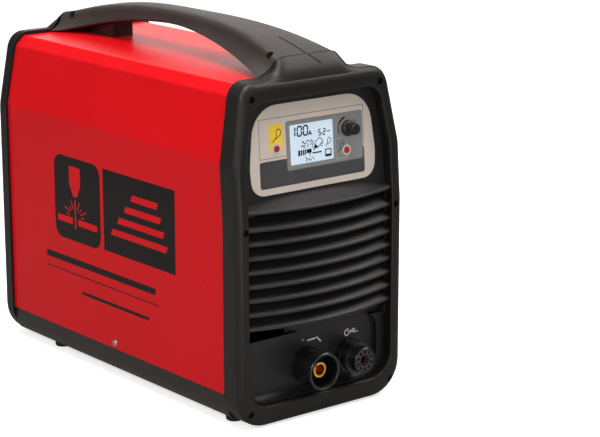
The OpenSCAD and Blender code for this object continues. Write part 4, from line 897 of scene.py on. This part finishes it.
on_dial, on_switch = on_back(DIAL), on_back(SWITCH)
make_piece("gauge_dial", *plate(arc(0, 0, DIAL_R, 0, 355, 71), on_dial, MARK_LOW, MARK_HIGH),
           white_paint, "panel_foil")
ticks = []
for k in range(MARKS + 1):
    start, width = (SHORT_FROM, 0.3) if k % LONG_EVERY else (LONG_FROM, 0.55)
    ends = np.array([on_circle(k, start), on_circle(k, MARK_END)])
    ticks.append(line(ends, width, on_dial, SCALE_LOW, SCALE_HIGH))
for figure in range(0, 10, 2):
    x, z = on_circle(LONG_EVERY * figure, FIGURES_R)
    ticks += digit(str(figure), x - 0.9, z - 1.5, 1.8, 3.0, 0.5, on_dial, SCALE_LOW, SCALE_HIGH)
make_piece("gauge_scale", *together(ticks), segment_black, "panel_foil")
zero = digit("0", -1.1, 20.2, 2.0, 3.0, 0.6, on_switch, MARK_LOW, MARK_HIGH)
one = line(np.array([(21.9, -1.6), (21.9, 1.6)]), 0.6, on_switch, MARK_LOW, MARK_HIGH)
make_piece("switch_marks", *together(zero + [one]), film_white, "panel_foil")
print("marks and bars on the dial:", len(ticks))

# %% [markdown]
# ## Graphics on the cover
# The side of the cover carries large black fields in screen ink. Their places and sizes are kept,
# and what stands in them is plain: a drawing of a cutting arc made for this lesson, and stripes.

# %% Fields of ink on the left side
INK_LOW, INK_HIGH, INK_TOP = -0.03, 0.06, 0.1


def side(points):
    """Points of (depth behind the lip, height), turned anticlockwise as seen on the left."""
    return np.asarray(points, float)[::-1] * (-1, 1)


def bar(y0, y1, z0, z1, slant=0.0):
    """A leaning bar of ink: its upper edge is moved to the front by slant."""
    return plate(side([(y0, z0), (y1, z0), (y1 - slant, z1), (y0 - slant, z1)]), on_cover_left,
                 INK_HIGH, INK_TOP)


def stroke(path, width):
    """A line of ink that stands out of the black fields."""
    return line(side(path), width, on_cover_left, INK_LOW, INK_TOP)


def field(outline):
    """A black field of ink."""
    return plate(side(outline), on_cover_left, INK_LOW, INK_HIGH)


black = [field(rounded(273.5, 151.5, 373, 255, 15)), field(rounded(121.5, 154, 267, 253.5, 0.4, 1)),
         line(side([(157, 109.5), (396, 109.5)]), 1.4, on_cover_left, INK_LOW, INK_HIGH),
         field([(162, 121), (395, 121), (395, 129), (162, 129)]),
         field([(176, 87), (318, 87), (318, 91), (176, 91)])]
make_piece("ink_fields", *together(black), ink_black, "red_paint")

# %% A nozzle, an arc and stripes in the fields
SPARK_Y, SPARK_Z, SPARK_FROM, SPARK_W = 328, 181, 13, 1.6
FLAT = 0.8                  # the ring of sparks is this much lower than it is wide
nozzle = side([(316, 222), (324, 207), (332, 207), (340, 222), (340, 244), (316, 244)])
red = [plate(nozzle, on_cover_left, INK_HIGH, INK_TOP),
       bar(281, 322, 172, 180), bar(334, 367, 172, 180), stroke([(328, 203), (328, 167)], 2.6)]
for k in range(9):          # sparks fly up on both sides, but none along the nozzle
    a = math.radians(10 + 20 * k)
    if k != 4:
        red.append(stroke([(SPARK_Y + r * math.cos(a), SPARK_Z + r * math.sin(a) * FLAT)
                           for r in (SPARK_FROM, 27 if k % 2 else 20)], SPARK_W))
for k in range(4):          # each stripe starts further back and reaches less far than the last
    red.append(bar(140 + 6 * k, 252 - 14 * k, 176 + 16 * k, 184 + 16 * k, 4))
make_piece("ink_drawing", *together(red), ink_red, "red_paint")

# %% [markdown]
# ## Stage and light
# The floor is pale. A camera ray adds a plain glow to it, so it reads as a white studio floor
# while it still takes the object's shadow. The lamps are large, so their edges are soft, and no
# stronger than what shows each colour about as it is written.

# %% Floor and world
FLOOR_HALF = 14.0               # metres
MIRRORED = 0.12                 # how much of the pale background a mirrored ray sees
# Levels where 1 is white: the floor's glow, the floor in the light's rays and in the camera's,
# and the world's light on the object
GLOW, PAPER, PAPER_SEEN, WORLD_LIGHT = 0.62, 0.25, 0.8, 0.07


def background_seen(tree):
    """1 for rays from the camera and through glass, MIRRORED for mirrored rays, 0 for the light.

    So metal and glass show the pale surroundings, and the lacquer isn't veiled by them.
    """
    rays = add(tree, "ShaderNodeLightPath")
    mirrored = add(tree, "ShaderNodeMath", {"operation": "MULTIPLY"},
                   _0=rays.outputs["Is Glossy Ray"], _1=MIRRORED)
    direct = add(tree, "ShaderNodeMath", {"operation": "MAXIMUM"},
                 _0=rays.outputs["Is Camera Ray"], _1=rays.outputs["Is Transmission Ray"])
    return add(tree, "ShaderNodeMath", {"operation": "MAXIMUM"}, _0=direct.outputs[0],
               _1=mirrored.outputs[0]).outputs[0]


floor_mesh = bpy.data.meshes.new("floor")
floor_mesh.from_pydata([(x * FLOOR_HALF, y * FLOOR_HALF, 0) for x, y in (
    (-1, -1), (1, -1), (1, 1), (-1, 1))], [], [(0, 1, 2, 3)])
floor = bpy.data.objects.new("floor", floor_mesh)
bpy.context.scene.collection.objects.link(floor)
pale = bpy.data.materials.new("studio floor")
pale.use_nodes = True
tree = pale.node_tree
tree.nodes.clear()
seen = background_seen(tree)
glow_level = add(tree, "ShaderNodeMath", {"operation": "MULTIPLY"}, _0=seen, _1=GLOW)
glow = add(tree, "ShaderNodeEmission", Color=(1, 1, 1, 1), Strength=glow_level.outputs[0])
white = add(tree, "ShaderNodeMapRange", Value=seen, To_Min=PAPER, To_Max=PAPER_SEEN)
paper = add(tree, "ShaderNodeBsdfDiffuse", Color=white.outputs["Result"])
mixed = add(tree, "ShaderNodeAddShader", _0=paper.outputs[0], _1=glow.outputs[0])
add(tree, "ShaderNodeOutputMaterial", Surface=mixed.outputs[0])
floor_mesh.materials.append(pale)

world = bpy.data.worlds.new("studio")
bpy.context.scene.world = world
world.use_nodes = True
tree = world.node_tree
tree.nodes.clear()
level = add(tree, "ShaderNodeMapRange", Value=background_seen(tree), To_Min=WORLD_LIGHT, To_Max=1.0)
back = add(tree, "ShaderNodeBackground", Color=(1, 1, 1, 1), Strength=level.outputs["Result"])
add(tree, "ShaderNodeOutputWorld", Surface=back.outputs[0])
print("floor:", 2 * FLOOR_HALF, "metres square")

# %% Lamps
LAMP_COLOUR = "#fffaf6"


def lamp(name, where, target, size, watts):
    """A square area lamp at a point that faces a target, both in metres."""
    light = bpy.data.lights.new(name, "AREA")
    light.shape, light.size, light.energy = "SQUARE", size, watts
    light.color = linear(LAMP_COLOUR)[:3]
    holder = bpy.data.objects.new(name, light)
    bpy.context.scene.collection.objects.link(holder)
    holder.location = where
    holder.rotation_euler = (Vector(target) - holder.location).to_track_quat("-Z", "Y").to_euler()


lamp("top", (-0.3, -0.2, 2.7), (0, 0, 0.2), 1.8, 78)
lamp("right top", (1.6, -0.8, 2.0), (0, 0, 0.3), 1.3, 32)
lamp("back", (1.9, 2.3, 1.6), (0, 0, 0.3), 1.8, 14)
lamp("left", (-2.7, -0.3, 1.9), (0, 0, 0.3), 1.2, 42)
lamp("front fill", (-2.2, -2.3, 1.3), (0, -0.1, 0.2), 0.9, 20)
lamp("low front", (-0.3, -1.4, 0.14), (0.02, 0, 0.05), 0.4, 3)
print("lamps:", len(bpy.data.lights))
